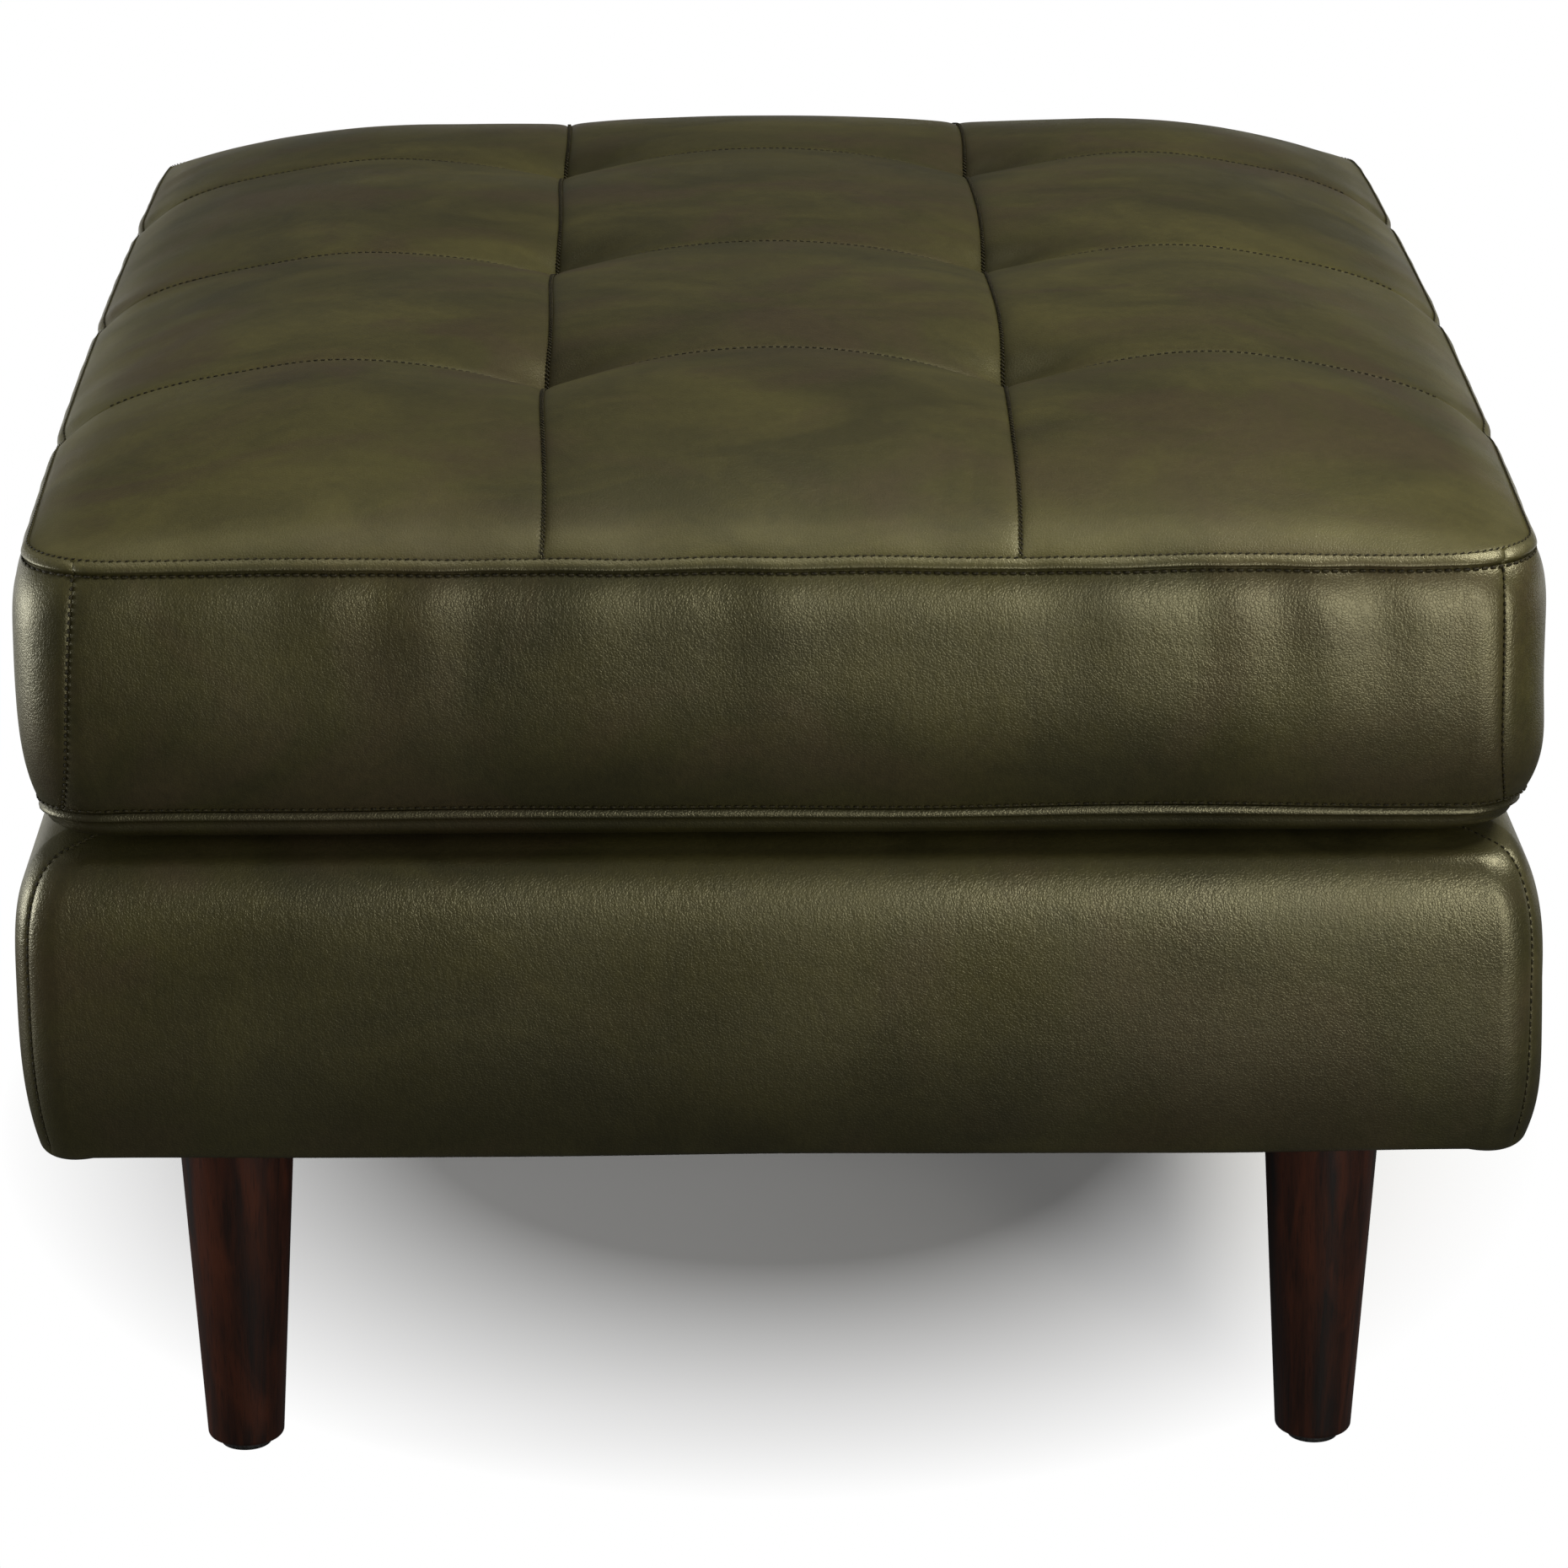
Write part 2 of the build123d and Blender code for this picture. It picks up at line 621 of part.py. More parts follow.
def make_quilt():
    """Twelve leather blocks and the fibre pads under them, from four blocks and their mirrors."""
    pad_drop = leather + soft_clearance
    outer_envelope, inner_envelope = shoulder_form(0.0), shoulder_form(leather)
    pad_envelope = shoulder_form(pad_drop)
    pads = []
    for outer_row, row_name in ((True, "outer"), (False, "inner")):
        for outer_column in (True, False):
            pillow = quilted_block(outer_column, outer_row)
            hollow = pillow.moved(Pos(0, 0, -leather)) & inner_envelope
            panel = (pillow & outer_envelope) - hollow
            pad = pillow.moved(Pos(0, 0, -pad_drop)) & pad_envelope & pad_bounds(outer_column, outer_row)
            for (side, column), piece in four_way(panel, outer_column).items():
                nodes[f"quilt_{side}_{row_name}_{column}"] = piece
            pads.extend(four_way(pad, outer_column).values())
    nodes["quilt_fibre_pads"] = group(pads)


def pad_bounds(outer_column, outer_row):
    """The room that a fibre pad has between the seams on its sides."""
    gap = soft_clearance / 2
    seam_x = middle_column_width / 2
    x_range = (-cushion_width / 2, -seam_x - gap) if outer_column else (-seam_x + gap, seam_x - gap)
    y_range = (-cushion_depth / 2, -middle_row_depth - gap) if outer_row else (-middle_row_depth + gap, -gap)
    return box(*x_range, *y_range, border_top - overrun, block_crown + overrun)


def report_sizes():
    """Prints what the main choices come to."""
    plane = zip_plane()
    pin_x, pin_height, _ = pull_pin()
    pin = plane.from_local_coords(Vector(pin_x, 0, pin_height))
    print("base top", round(base_top, 3), "border", round(border_bottom, 3), "to", round(border_top, 3))
    print("crown", round(block_crown, 3), "leg axes at", round(leg_x, 3), round(leg_y, 3))
    print("pull pin at", tuple(pin), "axis", tuple(plane.y_dir))
    print("zip travel", zip_length - 2 * slider_end_gap - slider_length)


os.makedirs("parts", exist_ok=True)
leg_bolts = make_legs()
under_staples = make_frame(leg_bolts)
make_upholstery(leg_bolts, under_staples)
make_cushion()
for node_name, shape in nodes.items():
    export_step(shape, f"parts/{node_name}.step")
print(len(nodes), "nodes")
report_sizes()
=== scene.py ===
# %% [markdown]
# # A quilted leather ottoman
# The real ottoman is a loose box cushion on an upholstered box with four turned legs. Its
# leather is cut in panels and sewn, so each panel here is one surface of its own, worked out
# with numpy: a grid of points that a formula puts in place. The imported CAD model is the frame
# that every panel is fitted to, and its moving bodies carry the panels.
# %% The frame
import json
import math
import bpy
import numpy as np
from mathutils import Matrix, Vector


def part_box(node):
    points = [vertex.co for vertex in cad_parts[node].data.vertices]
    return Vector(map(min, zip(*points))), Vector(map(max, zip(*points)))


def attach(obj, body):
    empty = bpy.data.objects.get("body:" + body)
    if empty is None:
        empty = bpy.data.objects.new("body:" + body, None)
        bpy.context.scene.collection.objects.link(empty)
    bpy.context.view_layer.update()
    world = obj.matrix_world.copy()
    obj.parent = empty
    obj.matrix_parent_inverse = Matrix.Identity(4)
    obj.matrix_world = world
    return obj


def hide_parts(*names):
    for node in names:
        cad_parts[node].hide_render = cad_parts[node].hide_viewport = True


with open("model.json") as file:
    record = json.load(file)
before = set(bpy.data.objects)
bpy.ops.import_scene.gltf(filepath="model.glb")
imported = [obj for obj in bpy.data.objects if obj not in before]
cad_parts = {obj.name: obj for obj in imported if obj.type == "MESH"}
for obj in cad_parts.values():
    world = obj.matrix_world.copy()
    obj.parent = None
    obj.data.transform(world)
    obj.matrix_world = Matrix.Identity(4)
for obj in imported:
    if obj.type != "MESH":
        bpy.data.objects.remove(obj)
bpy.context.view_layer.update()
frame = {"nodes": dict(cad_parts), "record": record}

# %% [markdown]
# ## Camera
# The photo looks down at about 19 degrees with a long lens, almost square to the front. The
# place, pitch and lens come from the corners, tufts and feet of the object. A camera looks along
# its own -Z, so its rotation is built from the right, up and backward directions.
# %% Camera
camera_place = Vector((-0.029, -2.643, 1.100))
camera_pitch, camera_yaw, camera_roll = math.radians(18.85), math.radians(0.76), math.radians(-0.08)
forward = Vector((math.sin(camera_yaw) * math.cos(camera_pitch),
                  math.cos(camera_yaw) * math.cos(camera_pitch), -math.sin(camera_pitch)))
level_right = Vector((math.cos(camera_yaw), -math.sin(camera_yaw), 0))
level_up = level_right.cross(forward)
camera_right = math.cos(camera_roll) * level_right + math.sin(camera_roll) * level_up
camera_up = math.cos(camera_roll) * level_up - math.sin(camera_roll) * level_right

camera = bpy.data.objects.new("camera", bpy.data.cameras.new("camera"))
bpy.context.scene.collection.objects.link(camera)
turn = Matrix((camera_right, camera_up, -forward)).transposed()
camera.matrix_world = Matrix.Translation(camera_place) @ turn.to_4x4()
camera.data.sensor_width = 36
camera.data.lens = 135.6
bpy.context.scene.camera = camera
print("camera", [round(v, 3) for v in camera_place], "lens", camera.data.lens)


# %% [markdown]
# ## Meshes from grids
# A panel is an array of points with two directions, in millimetres as a pattern cutter would
# write it. Neighbouring points make four-sided faces, so the faces can be worked out from the
# array's size alone. Each point also keeps its place along and across the panel as a UV map, and
# may keep a value such as wear, which the leather's material reads.
# %% Meshes from grids
MM = 0.001


def grid_faces(rows, columns, close_columns=False):
    """Four corners of each cell of a grid, counter-clockwise for rows up and columns right."""
    cells_across = columns if close_columns else columns - 1
    i, j = np.meshgrid(np.arange(rows - 1), np.arange(cells_across), indexing="ij")
    here, above, after = i * columns, (i + 1) * columns, (j + 1) % columns
    return np.stack([here + j, here + after, above + after, above + j], -1).reshape(-1, 4)


def make_piece(name, points, faces, uv=None, values=None, smooth=True):
    """An object from points in millimetres and faces of one size, put into the mesh as whole arrays."""
    points = np.asarray(points, float).reshape(-1, 3)
    faces = np.asarray(faces, int)
    mesh = bpy.data.meshes.new(name)
    mesh.vertices.add(len(points))
    mesh.vertices.foreach_set("co", (points * MM).ravel())
    mesh.loops.add(faces.size)
    mesh.loops.foreach_set("vertex_index", faces.ravel())
    mesh.polygons.add(len(faces))
    mesh.polygons.foreach_set("loop_start", np.arange(0, faces.size, faces.shape[1]))
    mesh.update(calc_edges=True)
    mesh.validate()
    mesh.polygons.foreach_set("use_smooth", np.full(len(mesh.polygons), smooth))
    if uv is not None:
        layer = mesh.uv_layers.new(name="panel")
        layer.data.foreach_set("uv", (np.asarray(uv, float).reshape(-1, 2) * MM)[faces.ravel()].ravel())
    for key, value in (values or {}).items():
        field = mesh.attributes.new(key, "FLOAT", "POINT")
        field.data.foreach_set("value", np.asarray(value, np.float32).ravel())
    piece = bpy.data.objects.new(name, mesh)
    bpy.context.scene.collection.objects.link(piece)
    return piece


def make_panel(name, points, flip=False, **more):
    """A panel from a (rows, columns, 3) array. Its faces point outwards, or the other way with flip."""
    faces = grid_faces(*points.shape[:2])
    return make_piece(name, points, faces[:, ::-1] if flip else faces, **more)


def dress(piece, material, body, replaced=(), wall=0.0):
    """Gives a piece its material, its wall in millimetres inwards from the outer face and the body that
    carries it, and hides the CAD nodes that it stands for."""
    piece.data.materials.append(material)
    if wall:
        shell = piece.modifiers.new("thickness", "SOLIDIFY")
        shell.thickness, shell.offset = wall * MM, -1
    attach(piece, body)
    if replaced:
        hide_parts(*replaced)


print("helpers ready; a 3 by 4 grid has", len(grid_faces(3, 4)), "faces")


# %% [markdown]
# ## Curves that the panels share
# Padding and seams take the same few forms again and again: an easy step, a bell across a seam
# and a slow wander along it. With each as one short formula, a panel can be written as a sum of
# named shapes. The wander is drawn from a seed, so that it is the same in each run.
# %% Shared curves
def spaced(count, ends=0.8):
    """Shares from 0 to 1 that lie closer together towards both ends, where a panel's seams are."""
    even = np.linspace(0, 1, count)
    return even - ends * np.sin(2 * np.pi * even) / (2 * np.pi)


def stations(stops, counts):
    """Places along a line, evenly spaced between each two stops, with a count for each stretch."""
    stretches = [np.linspace(*ends) for ends in zip(stops, stops[1:], counts)]
    return np.concatenate([stretch[:-1] for stretch in stretches] + [stretches[-1][-1:]])


def smooth_step(value):
    """0 below 0, 1 above 1, and an S-shaped curve between."""
    value = np.clip(value, 0, 1)
    return value * value * (3 - 2 * value)


def dip(distance, width):
    """1 at a line and falling off as a bell on both sides of it."""
    return np.exp(-(distance / width) ** 2)


def soft_waves(place, length, lowest, highest, seed):
    """A closed wave along a seam of some length: a sum of sines of whole numbers of turns,
    each lower the shorter it is, from about -1 to 1. The seed makes it the same each time."""
    chance = np.random.default_rng(seed)
    turns = np.arange(lowest, highest)
    heights = chance.normal(size=len(turns)) * (lowest / turns) ** 0.6
    starts = chance.uniform(0, 2 * np.pi, len(turns))
    angles = 2 * np.pi * np.multiply.outer(place / length, turns) + starts
    return (np.sin(angles) * heights).sum(-1) / np.abs(heights).sum() * 2


print("half way up the easy step", smooth_step(0.5), "and down the bell", round(float(dip(0.5, 1)), 2))

# %% [markdown]
# ## The outline that the panels follow
# Seen from above, the cushion and the box are rectangles with rounded corners. The distance along
# the outline, from the middle of the front and counter-clockwise, is a good first direction for
# the grids of the sides, because a sewn panel is a strip that goes round. The direction outwards
# turns only in the corners, so it and the corner centres are straight-line tables of the distance.
# %% Outline
cushion_half = (310.5, 383.5)
base_half = (315.0, 382.5)
cushion_radius = 30.0
base_radius = 20.0
side_bulge, end_bulge = 4.5, 0.5


class Outline:
    """A rounded rectangle with a distance along it, measured where it is fullest."""

    def __init__(self, half, radius, side_bulge=0.0, end_bulge=0.0):
        self.half, self.radius, self.side_bulge, self.end_bulge = half, radius, side_bulge, end_bulge
        self.run_x, self.run_y = half[0] - radius, half[1] - radius
        quarter = math.pi * radius / 2
        steps = [self.run_x, quarter, 2 * self.run_y, quarter, 2 * self.run_x, quarter,
                 2 * self.run_y, quarter, self.run_x]
        self.stops = np.concatenate([[0], np.cumsum(steps)])
        self.length = self.stops[-1]
        self.corner = self.run_x + quarter / 2

    def swell(self, x, y):
        """Moves places of the plan outwards, most at the middle of each side: a cube of the place
        along one axis times a parabola along the other."""
        share_x, share_y = x / self.half[0], y / self.half[1]
        return (x + self.side_bulge * share_x ** 3 * (1 - share_y ** 2),
                y + self.end_bulge * share_y ** 3 * (1 - share_x ** 2))

    def at(self, along, inset=0.0, radius=None):
        """x, y and the outward direction at a distance along, on the outline drawn in by an inset:
        the corner's centre, plus its radius in the direction outwards, then swollen."""
        radius = self.radius if radius is None else radius
        along = np.mod(along, self.length)
        angle = np.interp(along, self.stops, np.radians([0, 0, 90, 90, 180, 180, 270, 270, 360, 360]))
        side_x = np.interp(along, self.stops, [0, 1, 1, 1, 1, -1, -1, -1, -1, 0])
        side_y = np.interp(along, self.stops, [-1, -1, -1, 1, 1, 1, 1, -1, -1, -1])
        out_x, out_y = np.sin(angle), -np.cos(angle)
        x = side_x * (self.half[0] - inset - radius) + radius * out_x
        y = side_y * (self.half[1] - inset - radius) + radius * out_y
        return *self.swell(x, y), out_x, out_y

    def outward(self, along, rise=0.0):
        """Outward directions at distances along, tilted up by a rise."""
        _, _, out_x, out_y = self.at(along)
        return np.stack([out_x, out_y, np.full_like(out_x, rise)], -1)


cushion_outline = Outline(cushion_half, cushion_radius, side_bulge, end_bulge)
base_outline = Outline(base_half, base_radius)
print("mm round the cushion", round(cushion_outline.length), "and round the box", round(base_outline.length))

# %% [markdown]
# ## The cushion's sides
# Each side is a leather border over foam. It is fullest at two thirds of its height, pulls in
# towards both seams, and carries a narrow raised band under the upper seam, held down by a second
# row of stitches. The seams wander a little, and the leather has soft upright folds below the
# band. All of it is one function of the distance along and the height, so that the four borders
# and the stitches share it.
# %% Belly and seams of the cushion's sides
border_bottom, border_top = 311.5, 421.5
border_height = border_top - border_bottom
belly_share, belly_power = 0.68, 3.1
draw_in_bottom, draw_in_top = 12.0, 6.5
side_relief, front_lean = 5.0, 2.5
droop_depth, droop_width = 6.5, 50.0
band_height, band_proud = 5.2, 1.0
fold_drop, fold_start = 32.0, 9.0
fold_height, fine_fold_height, shallow_in_back = 1.7, 1.1, 0.75
seam_pull, seam_pull_down, column_share, seam_wander = 1.8, 1.4, 0.35, 0.4
lower_seam_rise, lower_seam_wander = 2.2, 1.2
slack_height, edge_tuck, turn_under_band = 0.5, 0.9, 1.2
sag_depth, sag_to_right, sag_height, sag_width = 2.0, 1.5, 18.0, 24.0
seam_power = 7
upper_radius = 36.0
column_seam, row_seam = 100.5, 192.0
round_cushion, half_round = cushion_outline.length, cushion_outline.length / 2
front_places = ((-236, 13, 1.1), (-160, 12, 1.0), (-80, 14, 0.8), (-10, 15, 1.5), (48, 14, 1.3),
                (96, 12, 0.7), (140, 16, 1.5), (182, 12, 0.8), (222, 13, 1.3), (256, 12, 1.2))


def belly(share, bottom_in):
    """How far a padded side stands in: nothing at its belly, and a power curve towards each seam."""
    below = bottom_in * (np.clip(belly_share - share, 0, None) / belly_share) ** belly_power
    above = draw_in_top * (np.clip(share - belly_share, 0, None) / (1 - belly_share)) ** belly_power
    return below + above


def bottom_draw(out_x):
    """How far the lower seam stands in: less on the long sides, where the padding is fuller."""
    return draw_in_bottom - side_relief * np.abs(out_x)


def lean(out_y):
    """How much further the front's upper seam stands back."""
    return front_lean * np.clip(-out_y, 0, 1) ** 2


def corner_droop(x, y):
    """The back corners hang lower, as a bell of the distance from each corner."""
    return -droop_depth * dip(np.hypot(np.abs(x) - cushion_half[0], y - cushion_half[1]), droop_width)


def upper_seam_shift(along):
    """How far the upper seam is pulled in, and how far it lies above its mean height: it wanders,
    and each quilting seam pulls at it, a column seam less than a row seam."""
    x, y, out_x, out_y = cushion_outline.at(along, draw_in_top, upper_radius)
    rows = dip(y, 10) + dip(np.abs(y) - row_seam, 10)
    pulled = np.abs(out_x) * rows + column_share * np.abs(out_y) * dip(np.abs(x) - column_seam, 8)
    wander = soft_waves(along, round_cushion, 10, 46, seed=3)
    return seam_pull * pulled + seam_wander * wander, wander - seam_pull_down * pulled


def lower_seam_shift(along):
    """How far the lower seam lies above the CAD's, as it follows the deck loosely."""
    return lower_seam_rise + lower_seam_wander * soft_waves(along, round_cushion, 5, 24, seed=8)


print("the side stands in at its foot, belly and top by",
      belly(np.array([0.0, belly_share, 1.0]), draw_in_bottom).round(1), "mm")


# %% [markdown]
# ## Folds, and the whole side
# A border is cut a little longer than the foam is round, so it ripples under the band. The widest
# folds of the front stand where the photo shows them, and smaller ones come from waves. Modelled
# by hand they would have to be fitted to each panel, while a sum of bells serves panels and
# stitches alike.
# %% Cushion sides as a function
def front_folds(along):
    """Broad upright folds below the front's band: bells at places along the front, in millimetres,
    with their half widths and how far they stand out."""
    from_middle = np.mod(along + half_round, round_cushion) - half_round
    return sum(rise * dip(from_middle - place, width) for place, width, rise in front_places)


def folds_below_band(along, below_seam, out_y):
    """Named and random folds together, which start under the band, fade downwards and are shallow
    in the back."""
    folds = fold_height * soft_waves(along, round_cushion, 26, 70, seed=5) + front_folds(along)
    folds = folds + fine_fold_height * soft_waves(along, round_cushion, 62, 118, seed=14)
    fade = np.exp(-below_seam / fold_drop) * (1 - np.exp(-below_seam / fold_start))
    return folds * (1 - shallow_in_back * np.clip(out_y, 0, 1)) * fade


def border_surface(along, height):
    """A point of the cushion's side: the outline drawn in by the belly curve, pushed out by folds
    and by the band, and lifted with the wandering seams. The leather turns in at both edges of the
    band and at the lower seam, and sags low in the long sides."""
    share = height / border_height
    _, _, out_x, out_y = cushion_outline.at(along)
    inset = belly(share, bottom_draw(out_x)) + lean(out_y) * np.clip((share - 0.35) / 0.65, 0, 1) ** 1.7
    pulled_in, lifted = upper_seam_shift(along)
    near_top = share ** seam_power
    radius = cushion_radius + (upper_radius - cushion_radius) * near_top
    x, y, out_x, out_y = cushion_outline.at(along, inset + pulled_in * near_top, radius)
    below_seam = border_height - height
    below_band = below_seam - band_height
    slack = slack_height * soft_waves(along, round_cushion, 6, 22, seed=12) * np.sin(np.pi * share)
    band = band_proud * np.sin(np.pi * np.clip(-below_band / band_height, 0, 1)) ** 0.7 * (below_band < 0)
    groove = -edge_tuck * dip(below_band, 0.9)
    rounding = -turn_under_band * np.exp(-np.clip(below_band, 0, None) / 3.5) * (below_band >= 0)
    turned_under = -edge_tuck * np.exp(-height / 2.4)
    sag = (sag_depth + sag_to_right * out_x) * np.abs(out_x) * dip(height - sag_height, sag_width)
    proud = folds_below_band(along, below_seam, out_y) + slack + band + groove + rounding + turned_under + sag
    z = border_bottom + height + lower_seam_shift(along) * (1 - share) ** seam_power
    z = z + (lifted + corner_droop(x, y)) * near_top
    return np.stack([x + proud * out_x, y + proud * out_y, z], -1)


def corner_seam_along(height, side):
    """The distance along, from the middle of the front, to a corner seam. It stands almost upright,
    and the right one (side 1) lies a little further round its corner than the left one (side -1)."""
    share = height / border_height
    radius = cushion_radius + (upper_radius - cushion_radius) * share ** seam_power
    seam_x = 291.5 + share if side > 0 else 289.5 - 4 * share
    centre = cushion_half[0] - belly(share, draw_in_bottom) - radius
    into_corner = np.clip((seam_x - centre) / radius, 0, 0.98)
    straight = np.clip(seam_x / centre, 0, 1) * cushion_outline.run_x
    round_corner = cushion_outline.run_x + cushion_radius * np.arcsin(into_corner)
    return np.where(seam_x < centre, straight, round_corner)


sample = border_surface(np.array([0.0]), np.array([border_height]))[0]
print("upper seam at the middle of the front", sample.round(1))

# %% [markdown]
# ## Leather, as shared effects
# The hide is aniline dyed and rubbed: olive green with browner clouds, lighter where it is pulled
# over an edge, with a fine nap that runs upright on the sides. These effects are node groups,
# because the quilted top, the borders and the box all use them, each with its own strengths. A
# group gives out only colours and values, and the shader stays in each material.
# %% Node helpers
NODE_SOCKETS = {"color": "NodeSocketColor", "value": "NodeSocketFloat", "vector": "NodeSocketVector"}


def connect(tree, target, inputs):
    """Fills inputs of a node by name or number: an output is linked, and anything else is set."""
    for key, value in inputs.items():
        socket = target.inputs[key]
        if isinstance(value, bpy.types.NodeSocket):
            tree.links.new(value, socket)
        else:
            socket.default_value = value


def node(tree, kind, inputs, **settings):
    """Adds a shader node of a kind, sets its properties and fills its inputs."""
    made = tree.nodes.new("ShaderNode" + kind)
    for key, value in settings.items():
        setattr(made, key, value)
    connect(tree, made, inputs)
    return made


def new_group(name, inputs, outputs):
    """A shader node group with named inputs (kind, default) and outputs (kind)."""
    tree = bpy.data.node_groups.new(name, "ShaderNodeTree")
    for key, (kind, default) in inputs.items():
        socket = tree.interface.new_socket(name=key, in_out="INPUT", socket_type=NODE_SOCKETS[kind])
        socket.default_value = default
    for key, kind in outputs.items():
        tree.interface.new_socket(name=key, in_out="OUTPUT", socket_type=NODE_SOCKETS[kind])
    return tree, tree.nodes.new("NodeGroupInput"), tree.nodes.new("NodeGroupOutput")


def scaled(tree, vector, scale):
    """A vector multiplied along each axis, which stretches a pattern the other way, or a colour
    made lighter or darker."""
    return node(tree, "VectorMath", {0: vector, 1: scale}, operation="MULTIPLY").outputs[0]


def noise(tree, vector, scale, detail=3.0, roughness=0.55, distortion=0.0):
    """The value of a noise texture, with scale in features per metre, or one scale for each axis."""
    if isinstance(scale, tuple):
        vector, scale = scaled(tree, vector, scale), 1.0
    made = node(tree, "TexNoise", {"Vector": vector, "Scale": scale, "Detail": detail,
                                   "Roughness": roughness, "Distortion": distortion})
    return made.outputs["Fac"]


def remap(tree, value, low, high, to_low=0.0, to_high=1.0):
    """A value stretched from one range to another and kept inside it."""
    return node(tree, "MapRange", {"Value": value, "From Min": low, "From Max": high,
                                   "To Min": to_low, "To Max": to_high}).outputs[0]


def mix_colors(tree, factor, first, second):
    """A blend of two colours."""
    return node(tree, "Mix", {"Factor": factor, 6: first, 7: second}, data_type="RGBA").outputs[2]


def color_ramp(tree, value, low, high, first, second, start=0.0, end=1.0):
    """The first colour at a low value and the second at a high one, with the shares of the second."""
    return mix_colors(tree, remap(tree, value, low, high, start, end), first, second)


def maths(tree, operation, first, second=0.0):
    """One sum, product or other operation on two values."""
    return node(tree, "Math", {0: first, 1: second}, operation=operation).outputs[0]


def object_place(tree):
    """The place on the object, in metres."""
    return tree.nodes.new("ShaderNodeTexCoord").outputs["Object"]


print("node helpers ready")


# %% [markdown]
# ## Materials of fine speckles
# Thread, plastic and foam are seen as speckles of two close colours. One noise at the size of the
# speckles gives the colour, and where it is wanted also the roughness and the relief, which is
# enough for pieces that fill few pixels of a picture.
# %% Material helpers
def new_material(name):
    """A material with a cleared tree, and its Principled shader."""
    material = bpy.data.materials.new(name)
    material.use_nodes = True
    tree = material.node_tree
    tree.nodes.clear()
    shader = tree.nodes.new("ShaderNodeBsdfPrincipled")
    output = tree.nodes.new("ShaderNodeOutputMaterial")
    tree.links.new(shader.outputs[0], output.inputs["Surface"])
    return material, tree, shader


def relief(tree, height, distance, strength=1.0):
    """The normal of a height that runs from 0 to about 1, with its depth in metres."""
    return node(tree, "Bump", {"Height": height, "Distance": distance, "Strength": strength}).outputs[0]


def speckled_material(name, pattern, low, high, colors, roughness, depth=None, gloss=0.5):
    """Two colours in fine speckles. pattern gives the noise's scale and detail, roughness is one
    value or a range that follows the speckles, and depth is that of their relief."""
    material, tree, shader = new_material(name)
    speckles = noise(tree, object_place(tree), *pattern)
    if isinstance(roughness, tuple):
        roughness = remap(tree, speckles, 0.3, 0.7, *roughness)
    connect(tree, shader, {"Base Color": color_ramp(tree, speckles, low, high, *colors),
                           "Roughness": roughness, "Specular IOR Level": gloss})
    if depth:
        connect(tree, shader, {"Normal": relief(tree, speckles, depth)})
    return material


print("material helpers ready")

# %% [markdown]
# ## The dyed hide
# Aniline dye soaks into a hide unevenly. A tiled picture of leather would repeat and break at the
# seams, so noise on the object's own place draws the clouds: broad ones, patches a few centimetres
# wide, browner ones between them, and specks. Rubbed edges blend towards a paler olive.
# %% The dyed hide: clouds of colour
hide_clouds, given, result = new_group(
    "dyed_hide",
    {"Vector": ("vector", (0, 0, 0)), "Deep": ("color", (0.03, 0.03, 0.014, 1)),
     "Middle": ("color", (0.07, 0.065, 0.03, 1)), "Worn": ("color", (0.16, 0.15, 0.08, 1)),
     "Wear": ("value", 0.0)},
    {"Color": "color"},
)
place = given.outputs["Vector"]
broad = noise(hide_clouds, place, 5.5, detail=2.5, distortion=0.5)
patches = noise(hide_clouds, scaled(hide_clouds, place, (0.8, 1.3, 1.2)), 17.0, detail=5.0,
                roughness=0.62, distortion=0.8)
browner = noise(hide_clouds, scaled(hide_clouds, place, (1, 1.6, 1)), 9.0, detail=4.0, distortion=1.2)
specks = noise(hide_clouds, place, 210.0, detail=3.0, roughness=0.7)
cloud = maths(hide_clouds, "ADD", maths(hide_clouds, "MULTIPLY", broad, 0.5),
              maths(hide_clouds, "MULTIPLY", patches, 0.5))
body_color = color_ramp(hide_clouds, cloud, 0.39, 0.60, given.outputs["Deep"], given.outputs["Middle"])
body_color = color_ramp(hide_clouds, browner, 0.48, 0.66, body_color, (0.056, 0.040, 0.020, 1), 0.0, 0.7)
body_color = scaled(hide_clouds, body_color, remap(hide_clouds, specks, 0.3, 0.7, 0.9, 1.1))
worn = maths(hide_clouds, "MULTIPLY", given.outputs["Wear"],
             remap(hide_clouds, patches, 0.3, 0.65, 0.45, 1.0))
connect(hide_clouds, result, {"Color": mix_colors(hide_clouds, worn, body_color, given.outputs["Worn"])})
print("dyed hide group", len(hide_clouds.nodes), "nodes")

# %% [markdown]
# ## The hide's grain
# Close by, the hide has pebbles with pores between them, gentle creases, and a nap brushed one
# way. Cells of a Voronoi texture are the pebbles, because their edges make a closed net, and noise
# makes the rest. They add up to one height, which the material turns into relief.
# %% The hide's grain: pores, creases and nap
hide_grain, given, result = new_group(
    "hide_grain",
    {"Vector": ("vector", (0, 0, 0)), "Nap": ("value", 0.5), "Nap Stretch": ("vector", (900, 900, 90))},
    {"Height": "value", "Roughness": "value", "Streak": "value"},
)
place = given.outputs["Vector"]
cells = node(hide_grain, "TexVoronoi", {"Vector": place, "Scale": 760.0, "Randomness": 1.0},
             feature="DISTANCE_TO_EDGE").outputs["Distance"]
pores = maths(hide_grain, "MULTIPLY", remap(hide_grain, cells, 0.0, 0.22), 0.3)
undulation = maths(hide_grain, "MULTIPLY", noise(hide_grain, place, 160.0, detail=4.0), 0.9)
nap_place = scaled(hide_grain, place, given.outputs["Nap Stretch"])
nap = maths(hide_grain, "MULTIPLY", noise(hide_grain, nap_place, 1.0, detail=3.0, roughness=0.6),
            given.outputs["Nap"])
